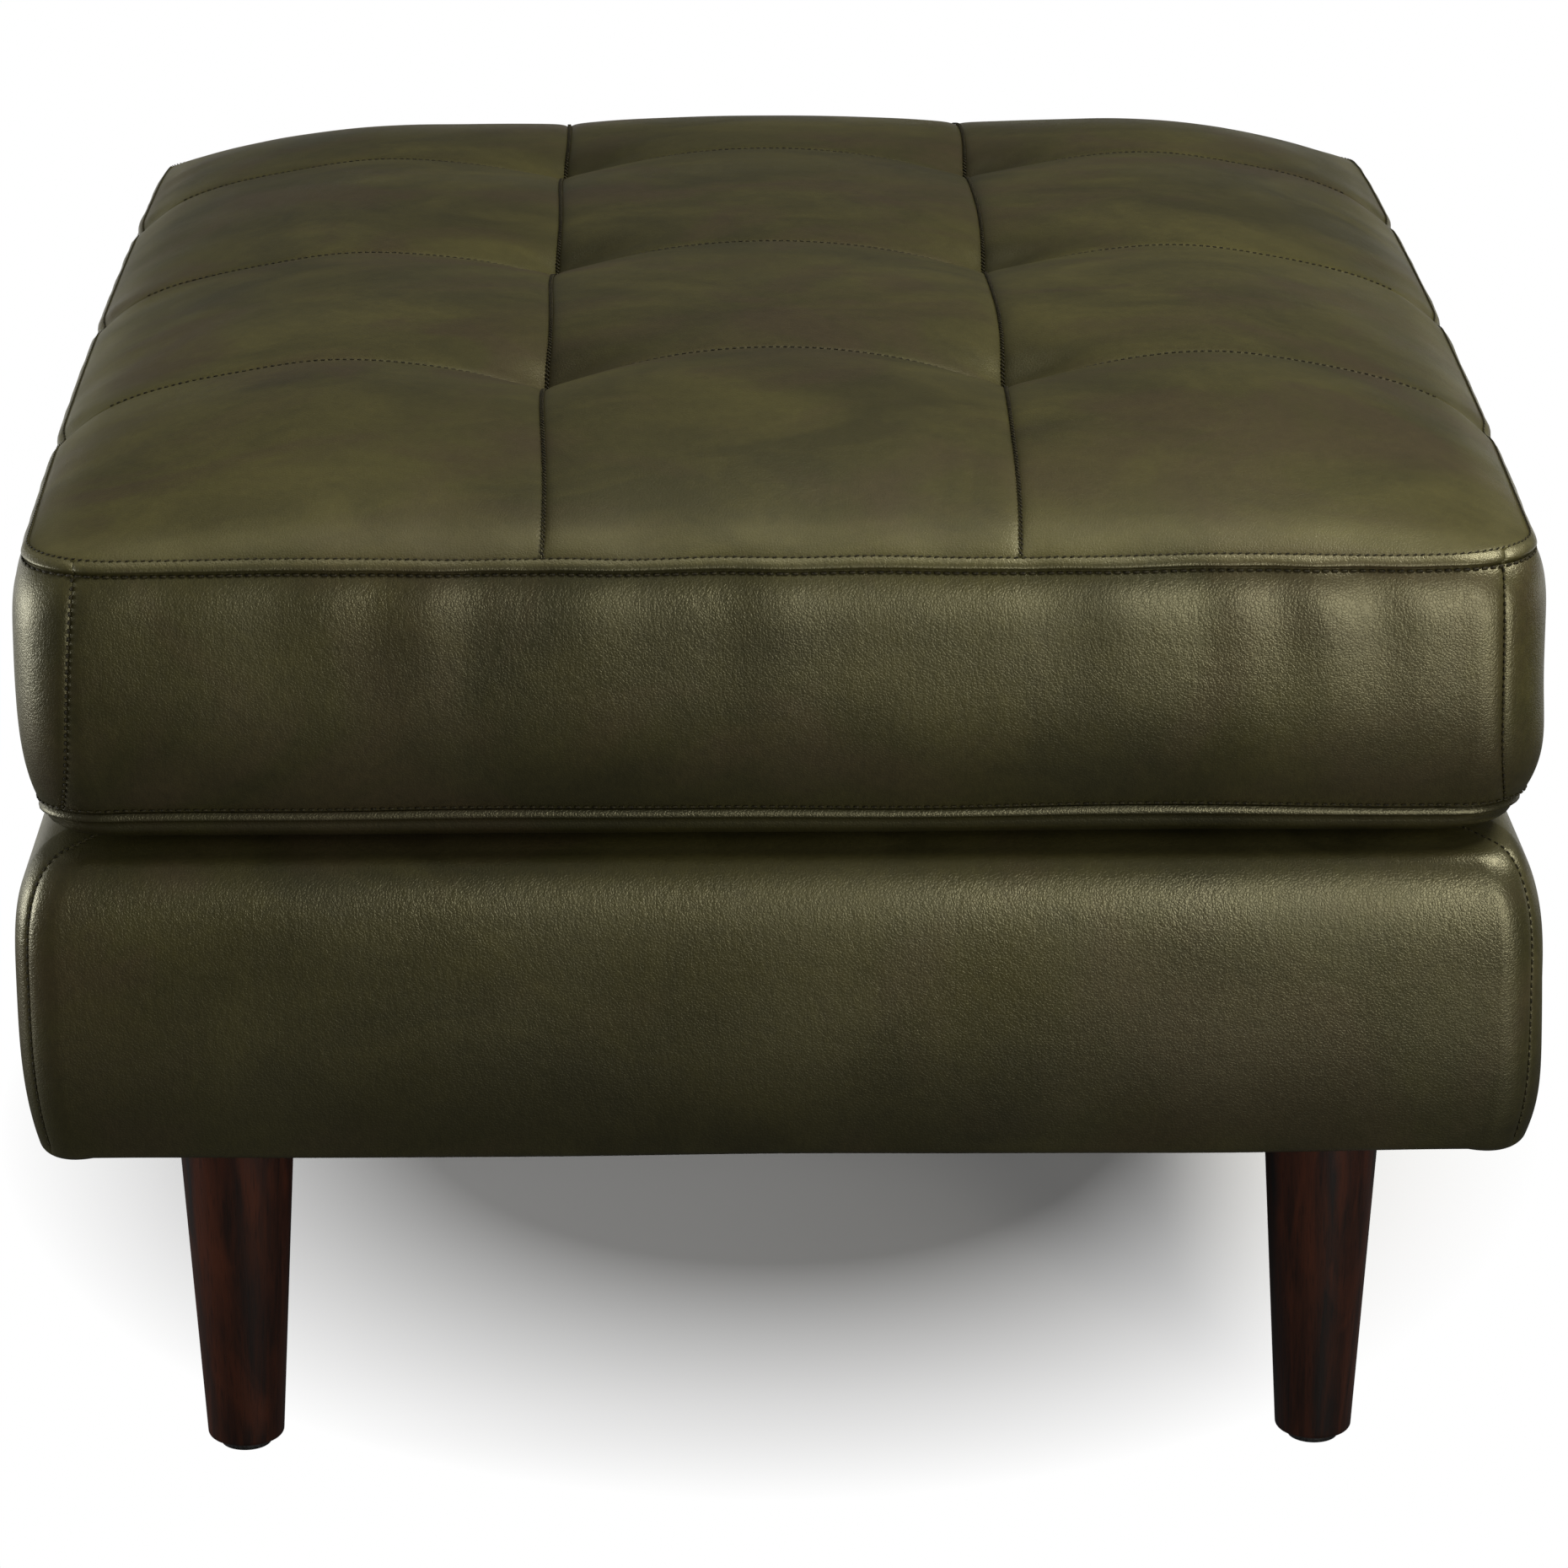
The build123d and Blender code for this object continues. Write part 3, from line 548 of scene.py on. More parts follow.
shine = noise(hide_grain, place, 14.0, detail=4.0)
connect(hide_grain, result, {
    "Height": maths(hide_grain, "ADD", maths(hide_grain, "ADD", pores, undulation), nap),
    "Roughness": remap(hide_grain, shine, 0.3, 0.7, -0.05, 0.07), "Streak": nap,
})
print("hide grain group", len(hide_grain.nodes), "nodes")


# %% [markdown]
# ## Three leathers from one hide
# The top is lit from above and looks smooth, while the sides are stretched harder, so their nap
# stands out. One function makes the three materials from the two groups, and only colours, nap
# and gloss differ. The sides' colours are darker than the top's, as painted shade.
# %% Leather materials
# The middle value is the share of colour left where shade is painted darkest.
hide_relief, darkest_painted_shade, rubbed_smoother = 0.00026, 0.4, 0.06


def leather_material(name, colors, nap, nap_stretch, roughness, gloss):
    """Olive leather in three colours, from deep to worn. The mesh says where it is worn lighter and
    where shade is painted darker into the colour. The nap makes streaks in the colour and relief in
    the finish."""
    material, tree, shader = new_material(name)
    place = object_place(tree)
    wear, tuck = (node(tree, "Attribute", {}, attribute_name=key).outputs["Fac"]
                  for key in ("wear", "tuck"))
    hide = node(tree, "Group", {"Vector": place, "Wear": wear, "Deep": colors[0],
                                "Middle": colors[1], "Worn": colors[2]}, node_tree=hide_clouds)
    grain = node(tree, "Group", {"Vector": place, "Nap": nap, "Nap Stretch": nap_stretch},
                 node_tree=hide_grain)
    streak = remap(tree, grain.outputs["Streak"], 0.3 * nap, 0.7 * nap, 1 - 0.15 * nap, 1 + 0.18 * nap)
    # Painted shade: the tuck attribute darkens the colour where the mesh marks shade.
    streak = maths(tree, "MULTIPLY", streak, remap(tree, tuck, 0, 1, 1.0, darkest_painted_shade))
    rough = maths(tree, "ADD", grain.outputs["Roughness"], roughness)
    connect(tree, shader, {
        "Base Color": scaled(tree, hide.outputs["Color"], streak),
        "Roughness": maths(tree, "SUBTRACT", rough, maths(tree, "MULTIPLY", wear, rubbed_smoother)),
        "Specular IOR Level": gloss, "Specular Tint": (1.0, 0.95, 0.62, 1),
        "Normal": relief(tree, grain.outputs["Height"], hide_relief, 0.6),
    })
    return material


worn_olive = (0.170, 0.155, 0.070, 1)
quilt_olives = ((0.040, 0.036, 0.012, 1), (0.080, 0.071, 0.021, 1), worn_olive)
# Painted shade: the sides' olives are darker than the top's, for faces turned away from the light above.
side_olives_painted_darker = ((0.023, 0.021, 0.007, 1), (0.053, 0.047, 0.014, 1), worn_olive)
along_top, upright = (500, 240, 500), (560, 560, 210)
quilt_leather = leather_material("quilted_olive_leather", quilt_olives, 0.25, along_top, 0.44, 0.5)
border_leather = leather_material("border_olive_leather", side_olives_painted_darker, 0.9, upright, 0.39, 1.0)
base_leather = leather_material("box_olive_leather", side_olives_painted_darker, 0.9, upright, 0.39, 1.0)
print("leather materials", [m.name for m in (quilt_leather, border_leather, base_leather)])

# %% [markdown]
# ## The quilted top
# The top is twelve pieces of leather sewn edge to edge, and each crossing of two seams is tied
# down as a tuft. The height is one function of the place: a dome that rises steeply from the upper
# seam, less the dips along the seams and the deeper ones at the tufts. Each block takes its own
# part of that function, so the blocks meet exactly at the seams, in a narrow groove where the
# leather turns under.
# %% Height of the quilted top
dome_rise, side_shoulder, end_shoulder = 44.2, 140.0, 195.0
outer_drop = 3.8
column_groove, row_groove, rim_tuck = 1.6, 1.0, 0.8
column_dip, row_dip, tuft_dip, pinch_dip, tuck_dip = 5.5, 4.5, 10.0, 3.0, 2.6
full_dips_from, shallower_back, deeper_front_tufts = 90, 0.35, 0.3
tuck_place, tuck_size = (13, 9), (20, 9)
seam_half = (cushion_half[0] - draw_in_top, cushion_half[1] - draw_in_top)
tufts = [(x, y) for x in (-column_seam, column_seam) for y in (-row_seam, 0.0, row_seam)]


def shoulder(inset, width):
    """The padding's rise from the upper seam, as a share: steep at the seam and level at a width."""
    return (1 - (1 - np.clip(inset / width, 0, 1)) ** 2.3) ** 0.88


def insets(x, y):
    """How far a place of the sharp plan lies inside the upper seam: along X, along Y, and the
    nearer of both with its corner rounded off."""
    inset_x = np.clip(seam_half[0] - np.abs(x), 0, None)
    inset_y = np.clip(seam_half[1] - np.abs(y), 0, None)
    nearer = (np.maximum(inset_x, 1e-3) ** -4 + np.maximum(inset_y, 1e-3) ** -4) ** -0.25
    return inset_x, inset_y, nearer


def quilt_shares(x, y):
    """How near a place is to a column seam and to a row seam, from 0 mid-block to 1 on the seam."""
    x, y, half_row = np.abs(x), np.abs(y), row_seam / 2
    to_column = np.where(x < column_seam, x / column_seam, 1 - (x - column_seam) / 100)
    to_row = np.where(y < row_seam, np.abs(y - half_row) / half_row, 1 - (y - row_seam) / half_row)
    return np.clip(to_column, 0, 1), np.clip(to_row, 0, 1)


def seam_distances(x, y):
    """Distances in millimetres to the nearest column seam and row seam."""
    to_row = np.minimum(np.abs(np.abs(y) - row_seam), np.abs(y))
    return np.abs(np.abs(x) - column_seam), to_row


def top_height(x, y):
    """Height of the quilted top: a dome that is the product of two shoulders, less a power curve
    down to each seam, a deeper dip at each tuft, with a tuck in the leather behind it to the right,
    and a narrow groove along the stitches. The outer columns lie a little lower, and seams flatten
    out towards the border."""
    inset_x, inset_y, inset = insets(x, y)
    dome = dome_rise * shoulder(inset_x, side_shoulder) * shoulder(inset_y, end_shoulder)
    drop = outer_drop * (1 - 0.5 * smooth_step((x - 60) / 120))
    dome = dome - drop * smooth_step((np.abs(x) - 70) / 120) * smooth_step(inset / 80)
    near_column, near_row = quilt_shares(x, y)
    to_column, to_row = seam_distances(x, y)
    inside = smooth_step(inset_x / full_dips_from) * smooth_step(inset_y / full_dips_from)
    inside = inside * (1 - shallower_back * smooth_step((y - 220) / 90))
    dips = inside * (column_dip * near_column ** 2.1 + row_dip * near_row ** 2.2)
    front_tuft = 1 + deeper_front_tufts * smooth_step((-y - 90) / 100)
    dips = dips + tuft_dip * front_tuft * inside * near_column ** 2.0 * near_row ** 2.3
    dips = dips + pinch_dip * np.exp(-np.hypot(to_column, to_row) / 12)
    for tuft_x, tuft_y in tufts:
        behind = np.hypot((x - tuft_x - tuck_place[0]) / tuck_size[0],
                          (y - tuft_y - tuck_place[1]) / tuck_size[1])
        dips = dips + tuck_dip * dip(behind, 1)
    along_row = row_groove * np.exp(-to_row / 1.7) * smooth_step(inset / 30)
    groove = np.maximum(column_groove * np.exp(-to_column / 2.4), along_row)
    rim = rim_tuck * np.exp(-inset / 2.0)
    return border_top + dome - dips - groove * (0.4 + 0.6 * smooth_step(inset / 12)) - rim


print("crown", top_height(np.array([0.0]), np.array([96.0])).round(1),
      "tuft", top_height(np.array([column_seam]), np.array([row_seam])).round(1))


# %% [markdown]
# ## From a rectangle to the real plan
# The height is easiest to write on a sharp rectangle, but the upper seam has round corners, and it
# wanders and bulges. So the height of a place is worked out on the sharp plan, and its x and y are
# moved to where the leather lies. All blocks share these moves, so they still meet.
# %% Plan of the quilted top
def rounded_plan(x, y):
    """Moves places of a sharp rectangle into the rounded upper seam. In each corner, a square as
    wide as the radius is squeezed into a quarter circle, so that grid lines stay apart."""
    centre_x, centre_y = seam_half[0] - upper_radius, seam_half[1] - upper_radius
    a, b = np.abs(x) - centre_x, np.abs(y) - centre_y
    in_corner = (a > 0) & (b > 0)
    a, b = np.clip(a, 0, upper_radius), np.clip(b, 0, upper_radius)
    squeezed_x = centre_x + a * np.sqrt(1 - b ** 2 / (2 * upper_radius ** 2))
    squeezed_y = centre_y + b * np.sqrt(1 - a ** 2 / (2 * upper_radius ** 2))
    return np.where(in_corner, np.sign(x) * squeezed_x, x), np.where(in_corner, np.sign(y) * squeezed_y, y)


def along_of(x, y):
    """The distance along the outline at the point of the upper seam nearest to a place."""
    reach_x, reach_y = seam_half[0] - upper_radius, seam_half[1] - upper_radius
    ax, ay = np.abs(x), np.abs(y)
    angle = np.arctan2(np.clip(ax - reach_x, 0, None), np.clip(ay - reach_y, 1e-6, None))
    by_side = (cushion_half[0] - ax < cushion_half[1] - ay) & (ay < reach_y)
    angle = np.where(by_side, np.pi / 2, np.where(ax < reach_x, 0, angle))
    along = np.clip(ax / reach_x, 0, 1) * cushion_outline.run_x + cushion_radius * angle
    along = along + np.where(by_side, (1 - ay / reach_y) * cushion_outline.run_y, 0)
    along = np.where(y > 0, half_round - along, along)
    return np.where(x < 0, round_cushion - along, along)


def column_shift(x, y):
    """The stuffing draws the column seams together, more towards the front, and they bend a
    millimetre between tufts."""
    near = np.clip(1 - np.abs(np.abs(x) - column_seam) / 100, 0, 1)
    drawn = -np.sign(x) * (2.5 + 2.0 * smooth_step((-y - row_seam) / 190))
    bend = 0.9 * np.sin(y / 31.0) * smooth_step(np.abs(np.abs(y) - row_seam) / 40)
    return near * (drawn + bend)


def top_surface(x, y):
    """A point of the quilted top, from its place in the sharp plan. Close to the upper seam it is
    shifted with the seam's wander and has small ripples, and it widens with the bulge of the long
    sides."""
    _, _, inset = insets(x, y)
    plan_x, plan_y = rounded_plan(x + column_shift(x, y), y)
    along = along_of(plan_x, plan_y)
    pulled_in, lifted = upper_seam_shift(along)
    _, _, out_x, out_y = cushion_outline.at(along)
    hold = np.exp(-(inset / 14) ** 2)
    ripples = 1.5 * soft_waves(along, round_cushion, 26, 78, seed=6) + 0.8 * front_folds(along)
    ripples = ripples * np.exp(-inset / 28) * (1 - np.exp(-inset / 7))
    z = top_height(x, y) + lifted * hold + ripples + corner_droop(plan_x, plan_y)
    held_in = (pulled_in + lean(out_y)) * hold
    plan_x, plan_y = cushion_outline.swell(plan_x, plan_y)
    return np.stack([plan_x - held_in * out_x, plan_y - held_in * out_y, z], -1)


print("front middle of the top", top_surface(np.array([0.0]), np.array([-376.5]))[0].round(1))

# %% [markdown]
# ## The twelve blocks
# Each block is a grid of its own, with lines that crowd towards its seams, where the leather turns
# under. Values of wear and of painted shade go with the points: paler where edges rub, and darker
# in the column seams and behind the tufts, where shade is painted into the colour.
# %% Quilted blocks
leather_wall, seam_depth = 1.4, 1.3
block_lines = 84
rim_wear, seam_wear = 0.30, 0.12
# Strengths of the painted shade in the column seams, right of them and behind the tufts.
seam_painted_shade, beside_seam_painted_shade, behind_tuft_painted_shade = 0.45, 0.28, 0.75
edge_x, edge_y = seam_half
column_spans = {"left": (-edge_x, -column_seam), "middle": (-column_seam, column_seam),
                "right": (column_seam, edge_x)}
row_spans = {"front_outer": (-edge_y, -row_seam), "front_inner": (-row_seam, 0.0),
             "back_inner": (0.0, row_seam), "back_outer": (row_seam, edge_y)}


def wear_of_top(x, y):
    """Leather is rubbed lighter where it is pulled over the edge and along the seams there."""
    inset = insets(x, y)[2]
    to_column, _ = seam_distances(x, y)
    return np.clip(rim_wear * dip(inset - 9, 9) + seam_wear * np.exp(-to_column / 5) * (inset < 60), 0, 1)


def painted_shade_of_top(x, y):
    """Painted shade, darkest in the tucks: in and right of each column seam, and behind each tuft."""
    dark = seam_painted_shade * np.exp(-np.abs(np.abs(x) - column_seam) / 1.6)
    between_ends = smooth_step((200 - y) / 20) * smooth_step((y + 200) / 20)
    for seam in (-column_seam, column_seam):
        fading = beside_seam_painted_shade * np.exp(-np.clip(x - seam, 0, None) / 12)
        dark = dark + fading * (x > seam) * between_ends
    for tuft_x, tuft_y in tufts:
        behind = np.hypot((x - tuft_x - 12) / 30, (y - tuft_y - 14) / 17)
        dark = dark + behind_tuft_painted_shade * dip(behind, 1) * (x > tuft_x) * (y > tuft_y)
    return np.clip(dark, 0, 1)


def between(span, shares):
    """Places between the two ends of a span, at shares of it."""
    return span[0] + shares * (span[1] - span[0])


for row, row_span in row_spans.items():
    for column, column_span in column_spans.items():
        x, y = np.meshgrid(between(column_span, spaced(block_lines)), between(row_span, spaced(block_lines)))
        block = make_panel(f"quilted_block_{row}_{column}", top_surface(x, y), uv=np.stack([x, y], -1),
                           values={"wear": wear_of_top(x, y), "tuck": painted_shade_of_top(x, y)})
        dress(block, quilt_leather, "cushion", [f"quilt_{row}_{column}"],
              leather_wall)
print("quilted blocks", len(row_spans), "by", len(column_spans), "each", len(block.data.polygons), "faces")

# %% [markdown]
# ## Border panels
# The front and back borders are cut between the corner seams, and the side borders go round the
# corners and meet them there. The grid lines of a panel run from one corner seam to the other, and
# lie closer near the seams and near the band, where the leather bends most.
# %% Border panels
slot_half, slot_height = (275.0, 6.0), 82.0
rim_turn, rim_inside = 2.0, 0.6
# Height in millimetres below which shade is painted into the border's colour.
shade_painted_below = 54


def border_heights(side):
    """Heights of the grid's rows: closer at the lower seam, around the band and at the zip slot."""
    if side == "back":
        low, high = slot_height - slot_half[1], slot_height + slot_half[1]
        return stations([0, 6, low - rim_turn, low + rim_inside, high - rim_inside, high + rim_turn, 103,
                         border_height], [9, 26, 9, 6, 9, 9, 29])
    return stations([0, 6, 92, 103, border_height], [9, 36, 10, 29])


def border_span(side, heights):
    """Where a border panel starts and ends along the outline, at each height."""
    left, right = corner_seam_along(heights, -1), corner_seam_along(heights, 1)
    return {"front": (-left, right), "right": (right, half_round - right),
            "back": (half_round - right, half_round + left),
            "left": (half_round + left, round_cushion - left)}[side]


def border_grid(side, columns):
    """Distances along and heights of a border panel's points, as two arrays. In the back, columns
    crowd at both ends of the zip slot."""
    heights = border_heights(side)
    start, end = (seam[:, None] for seam in border_span(side, heights))
    along = between((start, end), spaced(columns, 0.9)[None, :])
    if side == "back":
        left, right = half_round - slot_half[0], half_round + slot_half[0]
        inner = stations([left - rim_turn, left + rim_inside, right - rim_inside, right + rim_turn],
                         [9, columns, 9])
        outer = np.linspace(0, 1, 16)[None, :]
        along = np.concatenate([between((start, inner[0]), outer[:, :-1]), np.tile(inner, (len(heights), 1)),
                                between((inner[-1], end), outer[:, 1:])], 1)
    near_seam = np.minimum(np.abs(along - start), np.abs(along - end))
    return along, np.repeat(heights[:, None], along.shape[1], 1), near_seam


def outside_slot(along, height):
    """The distance from the rim of the zip slot in the back border, less than nothing inside it."""
    return np.maximum(np.abs(along - half_round) - slot_half[0], np.abs(height - slot_height) - slot_half[1])


def make_border(side):
    """One border panel, pulled in along its corner seams, and in the back along the rim of the zip
    slot, inside which it has no faces. It is rubbed lighter on the band's upper edge and along the
    seams, and painted shade makes it darker towards the lower seam."""
    along, height, near_seam = border_grid(side, 220)
    seam_groove = np.exp(-near_seam / 1.8)
    groove = seam_depth * seam_groove
    faces = grid_faces(*along.shape)
    if side == "back":
        rim = outside_slot(along, height)
        groove = groove + 2.0 * np.exp(-np.clip(rim, 0, None) / 0.9)
        faces = faces[rim.ravel()[faces].mean(1) > 0]
    points = border_surface(along, height) - cushion_outline.outward(along) * groove[..., None]
    wear = 0.45 * dip(height - (border_height - 1.2), 1.3) + 0.35 * dip(height - 0.4, 0.9)
    # Painted shade: darker towards the lower seam, kept in the tuck attribute.
    darker = 0.55 * smooth_step((shade_painted_below - height) / shade_painted_below)
    return make_piece(f"border_{side}", points, faces, uv=np.stack([along, height], -1),
                      values={"wear": wear + 0.15 * seam_groove, "tuck": darker})


for side in ("front", "left", "right", "back"):
    border = make_border(side)
    dress(border, border_leather, "cushion", [f"cushion_border_{side}"],
          leather_wall)
    print("border", side, len(border.data.polygons), "faces")

# %% [markdown]
# ## The cushion's underside
# Below the lower seam a narrow lip of leather stands out, and then the leather rolls in to the flat
# part that lies on the deck. Rings of the same outline, each drawn in further, make the roll, and
# the flat middle closes towards the centre line.
# %% Cushion underside
cushion_bottom = 297.6
lip_height, lip_share, roll_width_below = 3.4, 0.25, 44.0


def underside_surface(along, share):
    """Rings from the lower seam: a narrow lip that bulges, then down and in to the deck as a quarter
    of a superellipse. share runs from 0 at the seam to 1 at the flat part."""
    lip = np.clip(share / lip_share, 0, 1)
    roll = np.clip((share - lip_share) / (1 - lip_share), 0, 1) * np.pi / 2
    bulge = 0.6 * np.sin(np.pi * lip) ** 0.8 - 0.9 * (1 - lip)
    tuck = 2.6 * smooth_step((share - 0.2) / 0.08)
    _, _, out_x, _ = cushion_outline.at(along)
    inset = bottom_draw(out_x) - bulge + tuck + roll_width_below * (1 - np.cos(roll) ** 0.62)
    x, y, _, _ = cushion_outline.at(along, inset)
    z = border_bottom - lip_height * lip
    z = z - (border_bottom - lip_height - cushion_bottom) * np.sin(roll) ** 0.62
    z = z + lower_seam_shift(along) * (1 - share) ** 1.5
    return np.stack([x, y, np.maximum(z, cushion_bottom)], -1)


ring_along = np.linspace(0, round_cushion, 561)[:-1]
rings = underside_surface(*np.meshgrid(ring_along, stations([0, lip_share, 0.4, 1], [12, 12, 24])))
inner_shares = np.linspace(1, 0, 14)[1:, None, None]
flat = rings[-1][None] * np.array([1, 1, 0]) * inner_shares + np.array([0, 0, cushion_bottom])
rings = np.concatenate([rings, flat])
ring_places = np.meshgrid(ring_along, np.arange(len(rings)) * 4.0)
# Painted shade: the whole underside is darkened, as it lies in the cushion's shadow.
underside = make_piece("cushion_base_panel", rings, grid_faces(*rings.shape[:2], close_columns=True)[:, ::-1],
                       uv=np.stack(ring_places, -1), values={"tuck": np.full(rings.shape[:2], 0.85)})
dress(underside, border_leather, "cushion",
      ["cushion_underside", "cushion_core", "quilt_fibre_pads", "quilt_backing"], leather_wall)
print("underside", len(underside.data.polygons), "faces")

# %% [markdown]
# ## The upholstered box
# The box is padded too, with its belly a little above the middle, and its leather rolls over the
# upper edge onto the deck border. The four panels meet in seams that run down the middle of each
# rounded corner. Under the box the leather turns in and is stapled, and at the corners it hangs a
# little lower where it is folded.
# %% Box panels
base_bottom, base_height = 162.2, 135.0
base_belly_share, base_squareness = 0.55, 3.4
roll_width, edge_rounding = 34.0, 4.0
base_in_bottom = 7.0
deck_border, underside_turn = 28.0, 28.0
turn_end, edge_end, belly_end, roll_end = 0.1, 0.16, 0.42, 0.93
panel_height = 260.0
corner_hang, front_pressed, lowest_hang = 3.6, 2.4, 2.4
right_low_bulge, right_waist = 2.5, 2.6


def base_profile(share):
    """Inset and height along the leather's path, as a share of it: turned in under the box, round the
    bottom edge, up to the belly, over the upper edge as a quarter of a superellipse, and along the
    deck border. Each stretch ends at its named share."""
    under = np.clip(share / turn_end, 0, 1)
    edge = np.clip((share - turn_end) / (edge_end - turn_end), 0, 1) * np.pi / 2
    side = np.clip((share - edge_end) / (belly_end - edge_end), 0, 1)
    over = np.clip((share - belly_end) / (roll_end - belly_end), 0, 1) * np.pi / 2
    deck = np.clip((share - roll_end) / (1 - roll_end), 0, 1)
    belly_height = base_belly_share * base_height
    height = edge_rounding * (1 - np.cos(edge)) + side * (belly_height - edge_rounding)
    inset = base_in_bottom * (1 - height / belly_height) ** 3
    inset = inset + edge_rounding * (1 - np.sin(edge)) * (share < edge_end)
    height = height + (base_height - belly_height) * np.sin(over) ** (2 / base_squareness)
    inset = inset + roll_width * (1 - np.cos(over) ** (2 / base_squareness))
    return inset + underside_turn * (1 - under) + deck_border * deck, base_bottom + height


def base_surface(along, share):
    """A point of the box's leather: slack in the sides, more in the right one, corners and lower
    edge that hang a little, and a front edge that the cushion presses down."""
    inset, z = base_profile(share)
    x, y, out_x, out_y = base_outline.at(along, inset)
    on_side = smooth_step((share - 0.12) / 0.2) * smooth_step((0.9 - share) / 0.15)
    slack = slack_height * soft_waves(along, base_outline.length, 5, 19, seed=21) * on_side
    right_side = right_low_bulge * dip(share - 0.2, 0.1) - right_waist * dip(share - 0.62, 0.2)
    slack = slack + np.clip(out_x, 0, 1) * right_side
    off_lower_edge = smooth_step(share / 0.1)
    droop = -corner_hang * np.abs(out_x * out_y) * smooth_step((0.3 - share) / 0.14) * off_lower_edge
    pressed = front_pressed * np.clip(-out_y, 0, 1) * dip(share - 0.86, 0.08)
    wander = 0.5 * soft_waves(along, base_outline.length, 6, 20, seed=23) * smooth_step((0.25 - share) / 0.1)
    z = z + droop - pressed + wander * off_lower_edge
    return np.stack([x + slack * out_x, y + slack * out_y, np.clip(z, base_bottom - lowest_hang, None)], -1)


base_shares = stations([0, 0.09, 0.18, 0.42, 0.94, 1], [4, 14, 24, 56, 5])
half_round_box, corner = base_outline.length / 2, base_outline.corner
box_corners = (corner, half_round_box - corner, half_round_box + corner, base_outline.length - corner)
box_spans = {"front": (-corner, corner), "right": box_corners[:2], "back": box_corners[1:3],
             "left": box_corners[2:]}
for side, (start, end) in box_spans.items():
    along, share = np.meshgrid(between((start, end), spaced(230, 0.92)), base_shares)
    near = np.minimum(along - start, end - along)
    sewn = smooth_step((share - 0.14) / 0.04) * smooth_step((0.93 - share) / 0.06)
    groove = seam_depth * np.exp(-near / 1.6) * sewn
    points = base_surface(along, share) - base_outline.outward(along) * groove[..., None]
    wear = 0.28 * dip(share - 0.83, 0.06) + 0.2 * np.exp(-near / 3) + 0.2 * dip(share - 0.14, 0.02)
    # Painted shade: each box panel darkens towards the bottom, kept in the tuck attribute.
    panel = make_panel(f"box_panel_{side}", points, uv=np.stack([along, share * panel_height], -1),
                       values={"wear": wear, "tuck": 0.9 * smooth_step((0.50 - share) / 0.30)})
    dress(panel, base_leather, "base", [f"base_panel_{side}", f"rail_padding_{side}"],
          leather_wall)
    print("box panel", side, len(panel.data.polygons), "faces")

# %% [markdown]
# ## Stitches
# The thread shows as short dashes, about three to the centimetre. Each dash is a small capsule of a
# few faces, and one function lays thousands of them along a line of points: it walks the line's
# length, and places a copy of the capsule at each step, all as whole arrays.
# %% Stitches
waxed_thread = speckled_material("waxed_thread", (1500.0, 2.0), 0.35, 0.65,
                                 ((0.006, 0.005, 0.003, 1), (0.060, 0.052, 0.024, 1)),
                                 roughness=0.6, depth=0.0001, gloss=0.2)


def capsule():
    """A rod of six sides along X, one unit long and one unit in radius, drawn in at both ends."""
    turns = np.arange(6) * np.pi / 3
    places, radii = np.array([-0.5, -0.36, 0.36, 0.5]), np.array([0.35, 1.0, 1.0, 0.35])
    rings = np.stack([np.repeat(places, 6), np.outer(radii, np.cos(turns)).ravel(),
                      np.outer(radii, np.sin(turns)).ravel()], -1)
    sides = grid_faces(4, 6, close_columns=True)[:, ::-1]
    caps = np.array([[0, 1, 2, 3], [0, 3, 4, 5], [21, 20, 19, 18], [23, 22, 21, 18]])
    return rings, np.concatenate([sides, caps])


def stitch_line(points, normals, pitch, length, thread, lift, slant=0.0):
    """Capsules along a line: arc length gives each centre, its tangent and its outward direction.
    Pitch, length, the thread's radius and its lift are in millimetres."""
    travelled = np.concatenate([[0], np.cumsum(np.linalg.norm(np.diff(points, axis=0), axis=1))])
    stops = np.arange(pitch / 2, travelled[-1], pitch)

    def sample(values, stops):
        return np.stack([np.interp(stops, travelled, values[:, k]) for k in range(3)], -1)

    centre = sample(points, stops)
    tangent = sample(points, stops + 0.5) - sample(points, stops - 0.5)
    tangent /= np.linalg.norm(tangent, axis=1)[:, None]
    normal = sample(normals, stops)
    normal -= (normal * tangent).sum(1)[:, None] * tangent
    normal /= np.linalg.norm(normal, axis=1)[:, None]
    turned = math.cos(slant) * tangent + math.sin(slant) * np.cross(normal, tangent)
    side = np.cross(normal, turned)
    rod, faces = capsule()
    vertices = (centre + normal * lift)[:, None] + turned[:, None] * rod[None, :, :1] * length \
        + side[:, None] * rod[None, :, 1:2] * thread + normal[:, None] * rod[None, :, 2:] * thread
    faces = faces[None] + np.arange(len(centre))[:, None, None] * len(rod)
    return vertices.reshape(-1, 3), faces.reshape(-1, 4)


def make_stitches(name, lines, body):
    """One piece from many stitched lines."""
    starts = np.cumsum([0] + [len(vertices) for vertices, _ in lines])
    faces = np.concatenate([quads + start for (_, quads), start in zip(lines, starts)])
    piece = make_piece(name, np.concatenate([vertices for vertices, _ in lines]), faces)
    dress(piece, waxed_thread, body)
    print(name, len(faces), "faces")


def level_stitches(along, height, rise, **thread):
    """A row of stitches at one height of the cushion's side."""
    return stitch_line(border_surface(along, np.full_like(along, height)),
                       cushion_outline.outward(along, rise), **thread)


print("a stitch has", len(capsule()[1]), "faces")

